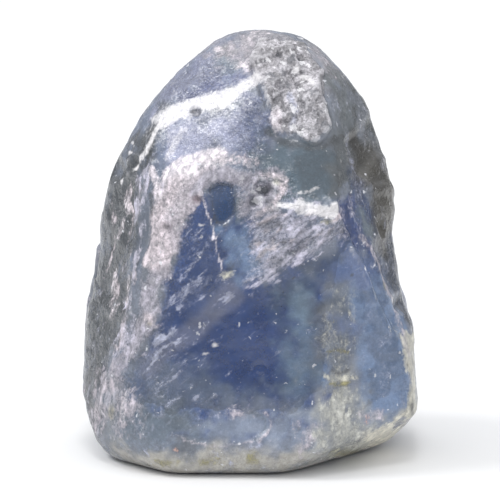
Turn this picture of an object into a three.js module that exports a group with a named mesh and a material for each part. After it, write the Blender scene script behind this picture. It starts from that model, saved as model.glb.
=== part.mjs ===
// A rough sapphire: one worn and frosted crystal that stands upright on its flat broken base.
// Millimetres, +Z up. The side with the clear blue window faces -Y. The origin is the base centre.

import * as THREE from 'three';
import { mergeVertices } from 'three/addons/utils/BufferGeometryUtils.js';

// Driving dimensions, in millimetres unless the name says otherwise
const CORE = new THREE.Vector3(0, 0, 7);          // a point well inside the stone
const HALF_SIZES = new THREE.Vector3(6.5, 5.2, 8.5);
const REACH = 14;                                 // further from the core than any point of the stone
const SEARCH_STEPS = 30;
const MESH_DETAIL = 20;                           // 20 * (detail + 1)^2 triangles
const PROBE = 0.001;                              // step used to measure a slope
const FLAT_BELOW = 0.0005;                        // anything this near the base lies exactly on it
const FOOT_HEIGHT = 0.5;                          // the marks fade out over this height above the base

// The marks of each side are drawn on a plane that faces it and leans back a little.
// s runs to the right, t runs up from the lowest point that shows.
const DRAWING_LEAN = THREE.MathUtils.degToRad(12);
const DRAWING_RISE = 0.9;
const SIDES = { front: 0, right: 90, back: 180, left: -90 };

// Crystal faces. turn: degrees from the front (-Y) towards the right (+X). lean: degrees above level.
// at: a point that the face passes through. wear: how widely its ridges are worn round.
const FACES = [
  { name: 'window', turn: -4, lean: 7, at: [-0.5, -4.75, 5], wear: 0.25 },
  { name: 'right front', turn: 24, lean: 5, at: [2.8, -4.8, 5], wear: 0.25 },
  { name: 'right side', turn: 62, lean: 19, at: [3.4, -3.95, 10.6], wear: 0.2 },
  { name: 'right', turn: 94, lean: 7.5, at: [5.55, 0.5, 11.5], wear: 0.45 },
  { name: 'right rear', turn: 118, lean: 8, at: [5.6, 2.2, 8], wear: 0.5 },
  { name: 'right heel', turn: 84, lean: 2, at: [6.88, 0, 3], wear: 0.4 },
  { name: 'curtain', turn: -34, lean: 13, at: [-1.72, -3.95, 10.8], wear: 0.2 },
  { name: 'left', turn: -64, lean: 11, at: [-4.25, -2.54, 9.6], wear: 0.35 },
  { name: 'left rear', turn: -98, lean: 6.5, at: [-6.1, 1, 9], wear: 0.5 },
  { name: 'left heel', turn: -92, lean: 0, at: [-6.74, 0, 3], wear: 0.5 },
  { name: 'shoulder right', turn: 5, lean: 27, at: [2.4, -3.95, 10.75], wear: 0.2 },
  { name: 'shoulder left', turn: -26, lean: 30, at: [-0.4, -2.74, 13.6], wear: 0.3 },
  { name: 'cap', turn: -35, lean: 48, at: [-3.4, -1.28, 13.6], wear: 0.18 },
  { name: 'cap right', turn: 15, lean: 50, at: [0.48, -1.84, 15.21], wear: 0.3 },
  { name: 'left shoulder', turn: -72, lean: 33, at: [-3.4, -1.15, 13.8], wear: 0.25 },
  { name: 'left rear shoulder', turn: -105, lean: 28, at: [-5, 0.9, 12.6], wear: 0.5 },
  { name: 'left cap', turn: -98, lean: 48, at: [-3, 1.3, 14.95], wear: 0.35 },
  { name: 'right shoulder', turn: 62, lean: 32, at: [4.35, -1.2, 13.4], wear: 0.3 },
  { name: 'right rear shoulder', turn: 102, lean: 34, at: [4.3, 0.8, 14.5], wear: 0.45 },
  { name: 'right cap', turn: 80, lean: 50, at: [2.85, 0.8, 16], wear: 0.4 },
  { name: 'top left', turn: -86, lean: 76, at: [-1.3, 1.5, 16.9], wear: 0.25 },
  { name: 'top right', turn: 80, lean: 72, at: [1.9, 1.2, 16.65], wear: 0.4 },
  { name: 'top', turn: 10, lean: 86, at: [0.2, 1.6, 17], wear: 0.4 },
  { name: 'back', turn: 176, lean: 6, at: [0, 4.8, 5], wear: 0.4 },
  { name: 'back left', turn: -140, lean: 8, at: [-4.1, 3.8, 5], wear: 0.4 },
  { name: 'back right', turn: 140, lean: 9, at: [4.3, 3.7, 5], wear: 0.4 },
  { name: 'back shoulder', turn: 170, lean: 21, at: [0, 4.4, 10.6], wear: 0.35 },
  { name: 'back cap', turn: 187, lean: 46, at: [0, 3.5, 14.9], wear: 0.4 },
  { name: 'foot left', turn: -88, lean: -32, at: [-6.3, 0, 0.75], wear: 0.5 },
  { name: 'foot right', turn: 88, lean: -44, at: [5.9, -1, 0.75], wear: 0.5 },
  { name: 'foot front', turn: 0, lean: -40, at: [0, -5, 0.45], wear: 0.5 },
  { name: 'foot front left', turn: -45, lean: -38, at: [-4.5, -3.95, 0.5], wear: 0.5 },
  { name: 'foot front right', turn: 48, lean: -52, at: [3.25, -2.6, 0], wear: 0.5 },
  { name: 'foot back', turn: 180, lean: -40, at: [0, 4.9, 0.5], wear: 0.5 },
  { name: 'foot back left', turn: -135, lean: -40, at: [-4.3, 3.9, 0.6], wear: 0.5 },
  { name: 'foot back right', turn: 135, lean: -40, at: [4.3, 3.9, 0.6], wear: 0.5 },
];

// Raised and sunk areas. edge: the width of the slope round the area.
const AREAS = [
  {
    name: 'clear window, bare of the frosted skin', side: 'front', height: -0.16, edge: 0.25,
    outline: [[-1.75, 10.7], [-2.1, 9.8], [-2.5, 8.6], [-2.9, 7.2], [-2.95, 5.5], [-3.5, 4.5], [-4.1, 3.4],
      [-3.4, 2.3], [-0.5, 2.1], [1.2, 3.2], [1.3, 5.4], [1.1, 7.2], [0.2, 8.3], [-0.5, 9.5], [-1.5, 9.6]],
  },
  {
    name: 'square notch', side: 'front', height: -0.3, edge: 0.25,
    outline: [[-2, 10.9], [-1.5, 11.4], [-0.85, 11.35], [-0.45, 10.9], [-0.5, 9.4], [-1.4, 9.2], [-1.7, 10.1]],
  },
  {
    name: 'sugary crust', side: 'front', height: 0.2, edge: 0.3,
    outline: [[0.5, 16], [0.75, 15.1], [0.5, 14.5], [0.7, 13.8], [1.3, 13.4], [2, 13.1], [2.7, 12.9],
      [3.1, 13.1], [3.3, 13.7], [3.2, 14.5], [3, 15.2], [2.7, 15.9], [2.5, 16.6], [1.8, 17.2], [0.9, 17.1]],
  },
  {
    name: 'frosted ledge', side: 'front', height: 0.1, edge: 0.5,
    outline: [[-0.3, 9.4], [0.4, 10.1], [1.4, 10.5], [3.4, 10.4], [4, 9.6], [3.6, 8.8], [2.2, 8.2], [0.6, 8.2]],
  },
  {
    name: 'back chip', side: 'back', height: -0.34, edge: 1.1,
    outline: [[-3.4, 3], [-3.9, 5.2], [-2.6, 7], [-0.6, 6.8], [0.6, 5.2], [0, 3.2], [-1.6, 2.4]],
  },
  {
    name: 'back crust', side: 'back', height: 0.18, edge: 0.35,
    outline: [[0.8, 12.2], [0.5, 13.6], [1.4, 14.9], [2.9, 14.6], [3.4, 13], [3, 11.4], [2, 10.9]],
  },
  {
    name: 'low growth terrace of the back', side: 'back', height: 0.2, edge: 0.6,
    outline: [[-6.8, 0], [-6.8, 7.6], [-4.8, 7.9], [-1.2, 8.8], [1.6, 8.3], [4.2, 8.9], [6.9, 8.4], [6.9, 0]],
  },
  {
    name: 'high growth terrace of the back', side: 'back', height: -0.2, edge: 0.6,
    outline: [[-6, 10.9], [-3.4, 11.4], [-1, 11], [0.6, 11.5], [2, 10.4], [6.2, 11.1], [4, 16], [-4, 16]],
  },
  {
    name: 'left hollow', side: 'left', height: -0.14, edge: 0.9,
    outline: [[-1.6, 5.4], [-1.8, 7.4], [-0.4, 8.4], [1.4, 8], [1.5, 6.2], [0.2, 5.2]],
  },
  {
    name: 'left growth terrace', side: 'left', height: 0.08, edge: 0.5,
    outline: [[-3.4, 1.6], [-3.2, 5.4], [-1, 6.3], [1.4, 5.6], [3.2, 6.2], [3.4, 1.6]],
  },
  {
    name: 'right waist', side: 'right', height: -0.3, edge: 1.2,
    outline: [[-2.6, 5.4], [-2.4, 8.2], [-0.6, 9], [1.8, 8.4], [2.4, 6.6], [1, 5.2]],
  },
  {
    name: 'right growth terrace', side: 'right', height: -0.16, edge: 0.5,
    outline: [[-2.2, 10.9], [0.2, 11.6], [2.4, 10.9], [3.6, 11.4], [3, 14.6], [-1.4, 14.6]],
  },
];

// Grooves, ridges and veins, each along a path. width: from its middle to where it ends.
const LINES = [
  { name: 'white vein', side: 'front', height: 0.12, width: 0.32,
    path: [[-2.15, 11.2], [-1.9, 10.6], [-1.5, 9.4], [-1.3, 8.5], [-0.95, 7.8]] },
  { name: 'ledge lip', side: 'front', height: 0.12, width: 0.4,
    path: [[0.3, 9.6], [0.9, 10.3], [1.5, 10.5], [2.6, 10.4], [3.4, 10.35]] },
  { name: 'upper frost fold', side: 'front', height: 0.1, width: 0.45,
    path: [[-2.9, 12.2], [-2, 12.1], [-1, 11.9], [-0.3, 11.5]] },
  { name: 'frost edge', side: 'front', height: 0.1, width: 0.35,
    path: [[-2.5, 9.8], [-3, 8.4], [-3.3, 7], [-3.4, 5.6], [-4, 4.4], [-4.5, 3.4]] },
  { name: 'right groove', side: 'front', height: -0.2, width: 0.42,
    path: [[3.7, 10.5], [4.4, 8.8], [5.15, 7.2], [5.7, 5.9]] },
  { name: 'right groove rim', side: 'front', height: 0.12, width: 0.32,
    path: [[3.35, 10.2], [4, 8.6], [4.7, 7], [5.3, 5.6]] },
  { name: 'yellow furrow', side: 'front', height: -0.13, width: 0.5,
    path: [[2.75, 8], [2.4, 6.6], [2.25, 5], [2, 3.4]] },
  { name: 'left streak', side: 'front', height: 0.08, width: 0.4,
    path: [[-3.9, 12.2], [-4.3, 10.4], [-4.6, 8.4], [-4.7, 6.4]] },
  { name: 'outer left streak', side: 'front', height: 0.07, width: 0.4,
    path: [[-4.9, 10.8], [-5.3, 8.6], [-5.5, 6.2]] },
  { name: 'back crack', side: 'back', height: -0.16, width: 0.34,
    path: [[3.8, 9.4], [2.4, 8.6], [1.6, 7], [1.9, 5], [1.2, 2.8]] },
  { name: 'back ridge', side: 'back', height: 0.14, width: 0.5,
    path: [[-4.6, 9.6], [-2.4, 10], [-0.6, 9.8], [1.2, 9.4]] },
  { name: 'right vein', side: 'right', height: 0.1, width: 0.5,
    path: [[-2.2, 11.6], [-1, 10.4], [0.6, 10], [2.2, 8.8]] },
];

// Round pits. radius: from the middle to the rim, which stands a little proud.
const PITS = [
  { side: 'front', s: 0.48, t: 11.16, radius: 0.4, depth: 0.22 },
  { side: 'front', s: 0.12, t: 10.6, radius: 0.32, depth: 0.18 },
  { side: 'front', s: -2.08, t: 14.28, radius: 0.34, depth: 0.16 },
  { side: 'front', s: -3.2, t: 9.76, radius: 0.34, depth: 0.14 },
  { side: 'front', s: -0.7, t: 8.1, radius: 0.36, depth: 0.12 },
  { side: 'front', s: 1.2, t: 15.2, radius: 0.36, depth: 0.16 },
  { side: 'front', s: 6.1, t: 6.75, radius: 0.4, depth: 0.14 },
  { side: 'front', s: -5.4, t: 12.1, radius: 0.55, depth: 0.18 },
  { side: 'front', s: -2.75, t: 15.9, radius: 0.7, depth: 0.2 },
  { side: 'right', s: -1.4, t: 9, radius: 0.42, depth: 0.16 },
  { side: 'right', s: 1.6, t: 11.6, radius: 0.5, depth: 0.16 },
  { side: 'right', s: 0.4, t: 4.1, radius: 0.45, depth: 0.14 },
  { side: 'back', s: -1.8, t: 12.6, radius: 0.5, depth: 0.18 },
  { side: 'back', s: -2.6, t: 11.9, radius: 0.36, depth: 0.14 },
  { side: 'back', s: 3.4, t: 4, radius: 0.5, depth: 0.16 },
  { side: 'back', s: -4.4, t: 3.2, radius: 0.42, depth: 0.14 },
  { side: 'left', s: 0.8, t: 11.4, radius: 0.45, depth: 0.15 },
  { side: 'left', s: -2.2, t: 4.6, radius: 0.5, depth: 0.15 },
];

// A shell-shaped chip where the base was broken, and the lumps of the crusts
const SHELL = { side: 'front', s: 0.5, t: 2.2, halfWidth: 1.6, halfHeight: 0.95, depth: 0.2 };
const LUMP_SIZE = 1;
const LUMP_HEIGHT = 0.16;

// Slow waviness that water wear leaves on every face: the size of a wave and its height
const WAVES = [{ size: 3.2, height: 0.07 }, { size: 1.5, height: 0.04 }];

const SAPPHIRE = new THREE.MeshStandardMaterial({ color: 0x6a7890, roughness: 0.42, metalness: 0 });

// Number helpers
const clamp = THREE.MathUtils.clamp;

function ease(value) {
  const x = clamp(value, 0, 1);
  return x * x * (3 - 2 * x);
}

function lattice(i, j, k) {
  const value = Math.sin(i * 127.1 + j * 311.7 + k * 74.7) * 43758.5453;
  return value - Math.floor(value);
}

// Smooth noise between -1 and 1, with one swell for each cell of the given size
function noise(point, cell) {
  const x = point.x / cell;
  const y = point.y / cell;
  const z = point.z / cell;
  const i = Math.floor(x);
  const j = Math.floor(y);
  const k = Math.floor(z);
  const u = ease(x - i);
  const v = ease(y - j);
  const w = ease(z - k);
  let sum = 0;
  for (const [a, b, c] of [[0, 0, 0], [1, 0, 0], [0, 1, 0], [1, 1, 0], [0, 0, 1], [1, 0, 1], [0, 1, 1], [1, 1, 1]]) {
    const share = (a ? u : 1 - u) * (b ? v : 1 - v) * (c ? w : 1 - w);
    sum += share * lattice(i + a, j + b, k + c);
  }
  return 2 * sum - 1;
}

// The worn crystal: every face is a plane, and where two planes meet the ridge is worn round
function faceNormal(turn, lean) {
  const a = THREE.MathUtils.degToRad(turn);
  const b = THREE.MathUtils.degToRad(lean);
  return new THREE.Vector3(Math.cos(b) * Math.sin(a), -Math.cos(b) * Math.cos(a), Math.sin(b));
}

const PLANES = FACES.map(({ turn, lean, at, wear }) => {
  const normal = faceNormal(turn, lean);
  return { normal, offset: normal.dot(new THREE.Vector3(...at)), wear };
});

function wornMax(a, b, wear) {
  const overlap = Math.max(wear - Math.abs(a - b), 0) / wear;
  return Math.max(a, b) + overlap * overlap * wear / 4;
}

// Below zero inside the stone, above zero outside it. The base is the plane z = 0.
function crystal(point) {
  let outside = -point.z;
  for (const { normal, offset, wear } of PLANES) {
    outside = wornMax(outside, normal.dot(point) - offset, wear);
  }
  return outside;
}

function surfaceAlong(direction) {
  const point = new THREE.Vector3();
  let near = 0;
  let far = REACH;
  for (let step = 0; step < SEARCH_STEPS; step += 1) {
    const middle = (near + far) / 2;
    point.copy(CORE).addScaledVector(direction, middle);
    if (crystal(point) < 0) near = middle;
    else far = middle;
  }
  return point;
}

function surfaceNormal(point) {
  const slope = new THREE.Vector3();
  for (const axis of ['x', 'y', 'z']) {
    const ahead = point.clone();
    const behind = point.clone();
    ahead[axis] += PROBE;
    behind[axis] -= PROBE;
    slope[axis] = crystal(ahead) - crystal(behind);
  }
  return slope.normalize();
}

// Where a point falls on the drawing plane of a side, and how squarely its face looks that way
function place(point, normal, side) {
  const turn = THREE.MathUtils.degToRad(SIDES[side]);
  const outward = new THREE.Vector3(Math.sin(turn), -Math.cos(turn), 0);
  const across = new THREE.Vector3(Math.cos(turn), Math.sin(turn), 0);
  const rise = Math.cos(DRAWING_LEAN);
  const set = Math.sin(DRAWING_LEAN);
  return {
    s: point.dot(across),
    t: point.z * rise - point.dot(outward) * set + DRAWING_RISE,
    facing: ease((normal.dot(outward) * rise + normal.z * set - 0.05) / 0.3),
  };
}

function distanceToPath(path, s, t) {
  let nearest = Infinity;
  for (let i = 1; i < path.length; i += 1) {
    const [s0, t0] = path[i - 1];
    const ds = path[i][0] - s0;
    const dt = path[i][1] - t0;
    const part = clamp(((s - s0) * ds + (t - t0) * dt) / (ds * ds + dt * dt), 0, 1);
    nearest = Math.min(nearest, Math.hypot(s - s0 - part * ds, t - t0 - part * dt));
  }
  return nearest;
}

// Distance to an outline, above zero inside it
function depthInside(outline, s, t) {
  const closed = [...outline, outline[0]];
  let inside = false;
  for (let i = 1; i < closed.length; i += 1) {
    const [s0, t0] = closed[i - 1];
    const [s1, t1] = closed[i];
    if ((t0 > t) !== (t1 > t) && s < (s1 - s0) * (t - t0) / (t1 - t0) + s0) inside = !inside;
  }
  const distance = distanceToPath(closed, s, t);
  return inside ? distance : -distance;
}

function areaHeight(area, spots, point) {
  const { s, t, facing } = spots[area.side];
  const cover = facing * ease(depthInside(area.outline, s, t) / area.edge + 0.5);
  const lumps = area.name.includes('crust') ? LUMP_HEIGHT * noise(point, LUMP_SIZE) : 0;
  return cover * (area.height + lumps);
}

function lineHeight(line, spots) {
  const { s, t, facing } = spots[line.side];
  return facing * line.height * ease(1 - distanceToPath(line.path, s, t) / line.width);
}

function pitHeight(pit, spots) {
  const { s, t, facing } = spots[pit.side];
  const distance = Math.hypot(s - pit.s, t - pit.t) / pit.radius;
  const rim = ease(1 - Math.abs(distance - 1.15) / 0.4);
  return facing * pit.depth * (0.25 * rim - ease(1.1 - distance));
}

function shellHeight(spots) {
  const { s, t, facing } = spots[SHELL.side];
  const distance = Math.hypot((s - SHELL.s) / SHELL.halfWidth, (t - SHELL.t) / SHELL.halfHeight);
  return -facing * SHELL.depth * ease(1 - distance);
}

function waviness(point) {
  let sum = 0;
  for (const { size, height } of WAVES) {
    sum += height * noise(point, size);
  }
  return sum;
}

// Everything that stands above or below the worn crystal faces
function relief(point, normal) {
  const spots = {};
  for (const side of Object.keys(SIDES)) {
    spots[side] = place(point, normal, side);
  }
  let height = shellHeight(spots) + waviness(point);
  for (const area of AREAS) height += areaHeight(area, spots, point);
  for (const line of LINES) height += lineHeight(line, spots);
  for (const pit of PITS) height += pitHeight(pit, spots);
  return height * ease(point.z / FOOT_HEIGHT);
}

function stoneGeometry() {
  const ball = new THREE.IcosahedronGeometry(1, MESH_DETAIL);
  ball.deleteAttribute('normal');
  ball.deleteAttribute('uv');
  const geometry = mergeVertices(ball, 1e-5);
  const positions = geometry.getAttribute('position');
  const direction = new THREE.Vector3();
  for (let i = 0; i < positions.count; i += 1) {
    direction.fromBufferAttribute(positions, i).multiply(HALF_SIZES).normalize();
    const point = surfaceAlong(direction);
    const normal = surfaceNormal(point);
    point.addScaledVector(normal, relief(point, normal));
    if (point.z < FLAT_BELOW) point.z = 0;
    positions.setXYZ(i, point.x, point.y, point.z);
  }
  // The origin is the middle of the base, so the stone is centred over it
  geometry.computeBoundingBox();
  const middle = geometry.boundingBox.getCenter(new THREE.Vector3());
  geometry.translate(-middle.x, -middle.y, 0);
  geometry.computeVertexNormals();
  return geometry;
}

const stone = new THREE.Mesh(stoneGeometry(), SAPPHIRE);
stone.name = 'sapphire';

const part = new THREE.Group();
part.add(stone);

export default part;
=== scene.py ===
import math
from functools import partial
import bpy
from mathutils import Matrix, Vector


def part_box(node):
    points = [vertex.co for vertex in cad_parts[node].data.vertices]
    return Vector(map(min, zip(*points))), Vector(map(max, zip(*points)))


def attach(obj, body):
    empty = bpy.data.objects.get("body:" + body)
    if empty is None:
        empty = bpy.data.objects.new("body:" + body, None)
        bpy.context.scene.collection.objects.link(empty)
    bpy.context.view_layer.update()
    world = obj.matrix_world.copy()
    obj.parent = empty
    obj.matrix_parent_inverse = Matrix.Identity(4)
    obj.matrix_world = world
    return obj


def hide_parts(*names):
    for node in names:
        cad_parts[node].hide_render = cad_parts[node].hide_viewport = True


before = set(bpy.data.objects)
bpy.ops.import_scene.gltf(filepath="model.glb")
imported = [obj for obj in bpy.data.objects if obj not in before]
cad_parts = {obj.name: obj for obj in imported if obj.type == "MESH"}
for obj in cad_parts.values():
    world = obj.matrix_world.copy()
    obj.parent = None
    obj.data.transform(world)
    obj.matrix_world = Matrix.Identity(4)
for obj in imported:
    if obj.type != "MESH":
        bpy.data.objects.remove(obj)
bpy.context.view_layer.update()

from types import SimpleNamespace

import bpy
import numpy as np
from mathutils import Vector

# A rough sapphire: one worn and frosted crystal that stands on its flat broken base.
# The stone is modelled with one unit to the millimetre and brought to metres at the end.
MM = 0.001
BLOCK = (15.0, 13.0, 18.0)   # the block that the crystal is cut from
GRID = 0.1                   # size of the mesh's quads
PROBE = 0.001                # step used to measure a slope
SETTLE_STEPS = 4             # times that a point is brought nearer to the worn surface
CREST_STEPS = 6              # times that heights are evened out to find what stands above them
FOOT_HEIGHT = 0.5            # the marks fade out over this height above the base
BASE_SNAP = 0.001            # points lower than this lie in the base

# The marks of each side are drawn on a plane that faces it and leans back a little.
# s runs to the right, t runs up from the lowest point that shows.
DRAWING_LEAN = math.radians(12)
DRAWING_RISE = 0.9
SIDES = {"front": 0, "right": 90, "back": 180, "left": -90}

# How squarely a surface has to face a side to show its marks: where they start, and the span over
# which they become full. The edge of the paint also sways.
RELIEF_FADE = (0.05, 0.3)
PAINT_FADE = (-0.1, 0.25)
PAINT_FADE_SWAY = 0.15

# Random numbers: how a cell's three numbers are scrambled, and the shift from one layer to the next
HASH = (127.1, 311.7, 74.7)
HASH_GAIN = 43758.5453
LAYER_SHIFT = 5.3

# Every outline and path sways to and fro. The strokes take turns with a few drifts.
DRIFTS = 4
DRIFT = (1.4, 4)             # size of a drift's swells, and its layers
DRIFT_SHIFTS = (3.0, 7.0)    # shifts of the noise across and up
DRIFT_STEP = 9               # shift from one drift to the next
RELIEF_SWAY = 0.16           # how far the raised and sunk marks sway
STROKE_SWAY = 0.8            # how far the widest strokes of paint sway
STREAK_SWAY = 0.5            # how far streaks sway
SWAY_OVER_WIDTH = 1.2        # sway of a narrower outline, over the width of its soft edge

# Noise at the edges of the strokes, and in patches of grit: size, layers, shift
FRAYING = (0.45, 3, 77.0)
PATCHES = (1.2, 3, 63.0)
FRAY = 0.8                   # how much the edge of a stroke is frayed
REACH = 1.5                  # how far a path or an oval reaches, over its own half width

# Crystal faces: turn from the front towards the right and lean above level, in degrees,
# a point that the face passes through, and how widely its ridges are worn round
FACES = {
    "window": (-4, 7, (-0.5, -4.75, 5), 0.25),
    "right front": (24, 5, (2.8, -4.8, 5), 0.25),
    "right side": (62, 19, (3.4, -3.95, 10.6), 0.2),
    "right": (94, 7.5, (5.55, 0.5, 11.5), 0.45),
    "right rear": (118, 8, (5.6, 2.2, 8), 0.5),
    "right heel": (84, 2, (6.88, 0, 3), 0.4),
    "curtain": (-34, 13, (-1.72, -3.95, 10.8), 0.2),
    "left": (-64, 11, (-4.25, -2.54, 9.6), 0.35),
    "left rear": (-98, 6.5, (-6.1, 1, 9), 0.5),
    "left heel": (-92, 0, (-6.74, 0, 3), 0.5),
    "shoulder right": (5, 27, (2.4, -3.95, 10.75), 0.2),
    "shoulder left": (-26, 30, (-0.4, -2.74, 13.6), 0.3),
    "cap": (-35, 48, (-3.4, -1.28, 13.6), 0.18),
    "cap right": (15, 50, (0.48, -1.84, 15.21), 0.3),
    "left shoulder": (-72, 33, (-3.4, -1.15, 13.8), 0.25),
    "left rear shoulder": (-105, 28, (-5, 0.9, 12.6), 0.5),
    "left cap": (-98, 48, (-3, 1.3, 14.95), 0.35),
    "right shoulder": (62, 32, (4.35, -1.2, 13.4), 0.3),
    "right rear shoulder": (102, 34, (4.3, 0.8, 14.5), 0.45),
    "right cap": (80, 50, (2.85, 0.8, 16), 0.4),
    "top left": (-86, 76, (-1.3, 1.5, 16.9), 0.25),
    "top right": (80, 72, (1.9, 1.2, 16.65), 0.4),
    "top": (10, 86, (0.2, 1.6, 17), 0.4),
    "back": (176, 6, (0, 4.8, 5), 0.4),
    "back left": (-140, 8, (-4.1, 3.8, 5), 0.4),
    "back right": (140, 9, (4.3, 3.7, 5), 0.4),
    "back shoulder": (170, 21, (0, 4.4, 10.6), 0.35),
    "back cap": (187, 46, (0, 3.5, 14.9), 0.4),
    "foot left": (-88, -32, (-6.3, 0, 0.75), 0.5),
    "foot right": (88, -44, (5.9, -1, 0.75), 0.5),
    "foot front": (0, -40, (0, -5, 0.45), 0.5),
    "foot front left": (-45, -38, (-4.5, -3.95, 0.5), 0.5),
    "foot front right": (48, -52, (3.25, -2.6, 0), 0.5),
    "foot back": (180, -40, (0, 4.9, 0.5), 0.5),
    "foot back left": (-135, -40, (-4.3, 3.9, 0.6), 0.5),
    "foot back right": (135, -40, (4.3, 3.9, 0.6), 0.5),
}

# Outlines that both the relief and the paint follow
BACK_CRACK = [(3.8, 9.4), (2.4, 8.6), (1.6, 7), (1.9, 5), (1.2, 2.8)]
CURTAIN_EDGE = [(-0.6, 11.5), (-1.1, 11.6), (-1.7, 11.4), (-1.9, 11), (-2.3, 10.5), (-2.6, 9.7), (-2.9, 8.8)]
KEYHOLE = [(-1.72, 11.2), (-1.3, 11.5), (-0.7, 11.35), (-0.6, 10.2), (-1.1, 9.75), (-1.4, 9.8)]
CRUST = [
    (2.1, 17.1), (2.4, 16.5), (2.8, 15.8), (2.7, 15.2), (2.9, 14.2), (3.05, 13.7), (2.8, 13.2), (2.5, 13),
    (2.1, 13.1), (1.8, 13.3), (1.1, 13.4), (0.8, 13.7), (0.7, 14.3), (0.5, 14.9), (0.3, 15.3), (0, 16.1),
    (0.4, 17.1)]
BACK_CRUST = [(0.8, 12.2), (0.5, 13.6), (1.4, 14.9), (2.9, 14.6), (3.4, 13), (3, 11.4), (2, 10.9)]
WINDOW_EDGE = [
    (-1.8, 10.9), (-2.3, 10.3), (-2.6, 9.6), (-2.9, 8.8), (-3, 8.2), (-3.3, 7.6), (-3.4, 7), (-3.4, 6.4),
    (-3.6, 5.7), (-4.1, 5), (-4.6, 4.4)]

# Small forms on the areas. Grains: height over size, size, shift
AREA_GRAINS = {"sugary": [(0.2, 1.2, 1.5), (0.2, 0.5, 6.5)], "lumpy": [(0.16, 0.6, 9.5)]}
LUMPS = (0.24, 0.5, 2.6, 32, 4.0)        # height, width, length over width, slant, shift
CRINKLES = (0.18, 0.8, 2.0)              # height, size, shift
CRINKLE_SQUEEZE = (1, 1, 0.6)            # makes the crinkles longer upwards
GRAIN_TILT = 1.6                         # how steep the tops of broken grains are

# Raised and sunk areas: side, height, width of the slope round the area, small forms on it, outline
AREAS = {
    "frost curtain": ("front", 0.1, 0.4, "crinkled", [
        (-3.1, 12), (-2, 12.4), (-1, 12.6), (0, 12.5), (0.5, 11.9), (0.5, 11.5), (-0.2, 11.4), *CURTAIN_EDGE,
        (-3, 8.2), (-3.3, 7.7), (-3.4, 7), (-3.4, 6.4), (-3.6, 5.7), (-4.1, 5.1), (-4.7, 4.4), (-5.2, 3.5),
        (-5.4, 2.8), (-5.8, 2.4), (-5.8, 3.2), (-5.5, 4), (-4.9, 5), (-4.5, 5.8), (-4.2, 7.2), (-4.1, 8.4),
        (-3.8, 9.5), (-3.9, 10.8), (-3.7, 11.4)]),
    "keyhole": ("front", -0.12, 0.1, "plain", KEYHOLE),
    "sugary crust": ("front", 0.2, 0.16, "sugary", CRUST),
    "frosted ledge": ("front", 0.06, 1.0, "lumpy", [
        (-0.3, 9.4), (0.4, 10.1), (1.4, 10.5), (3.4, 10.4), (3.4, 9.6), (2.8, 8.9), (2, 8.2), (0.6, 8.2)]),
    "back chip": ("back", -0.34, 1.1, "plain", [
        (-3.4, 3), (-3.9, 5.2), (-2.6, 7), (-0.6, 6.8), (0.6, 5.2), (0, 3.2), (-1.6, 2.4)]),
    "back crust": ("back", 0.18, 0.2, "sugary", BACK_CRUST),
    "low growth terrace": ("back", 0.2, 0.4, "plain", [
        (-6.8, 0), (-6.8, 7.6), (-4.8, 7.9), (-1.2, 8.8), (1.6, 8.3), (4.2, 8.9), (6.9, 8.4), (6.9, 0)]),
    "high growth terrace": ("back", -0.2, 0.4, "plain", [
        (-6, 10.9), (-3.4, 11.4), (-1, 11), (0.6, 11.5), (2, 10.4), (6.2, 11.1), (3.4, 15), (-2.4, 15.2)]),
    "left hollow": ("left", -0.14, 0.9, "plain", [
        (-1.6, 5.4), (-1.8, 7.4), (-0.4, 8.4), (1.4, 8), (1.5, 6.2), (0.2, 5.2)]),
    "left growth terrace": ("left", 0.08, 0.3, "plain", [
        (-3.4, 1.6), (-3.2, 5.4), (-1, 6.3), (1.4, 5.6), (3.2, 6.2), (3.4, 1.6)]),
    "right waist": ("right", -0.3, 1.2, "plain", [
        (-2.6, 5.4), (-2.4, 8.2), (-0.6, 9), (1.8, 8.4), (2.4, 6.6), (1, 5.2)]),
    "right growth terrace": ("right", -0.14, 0.5, "plain", [
        (-2.2, 10.9), (0.2, 11.6), (2.4, 10.9), (3.6, 11.4), (3.2, 13.6), (1.8, 13.2), (-1.6, 12.6)]),
}

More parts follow.
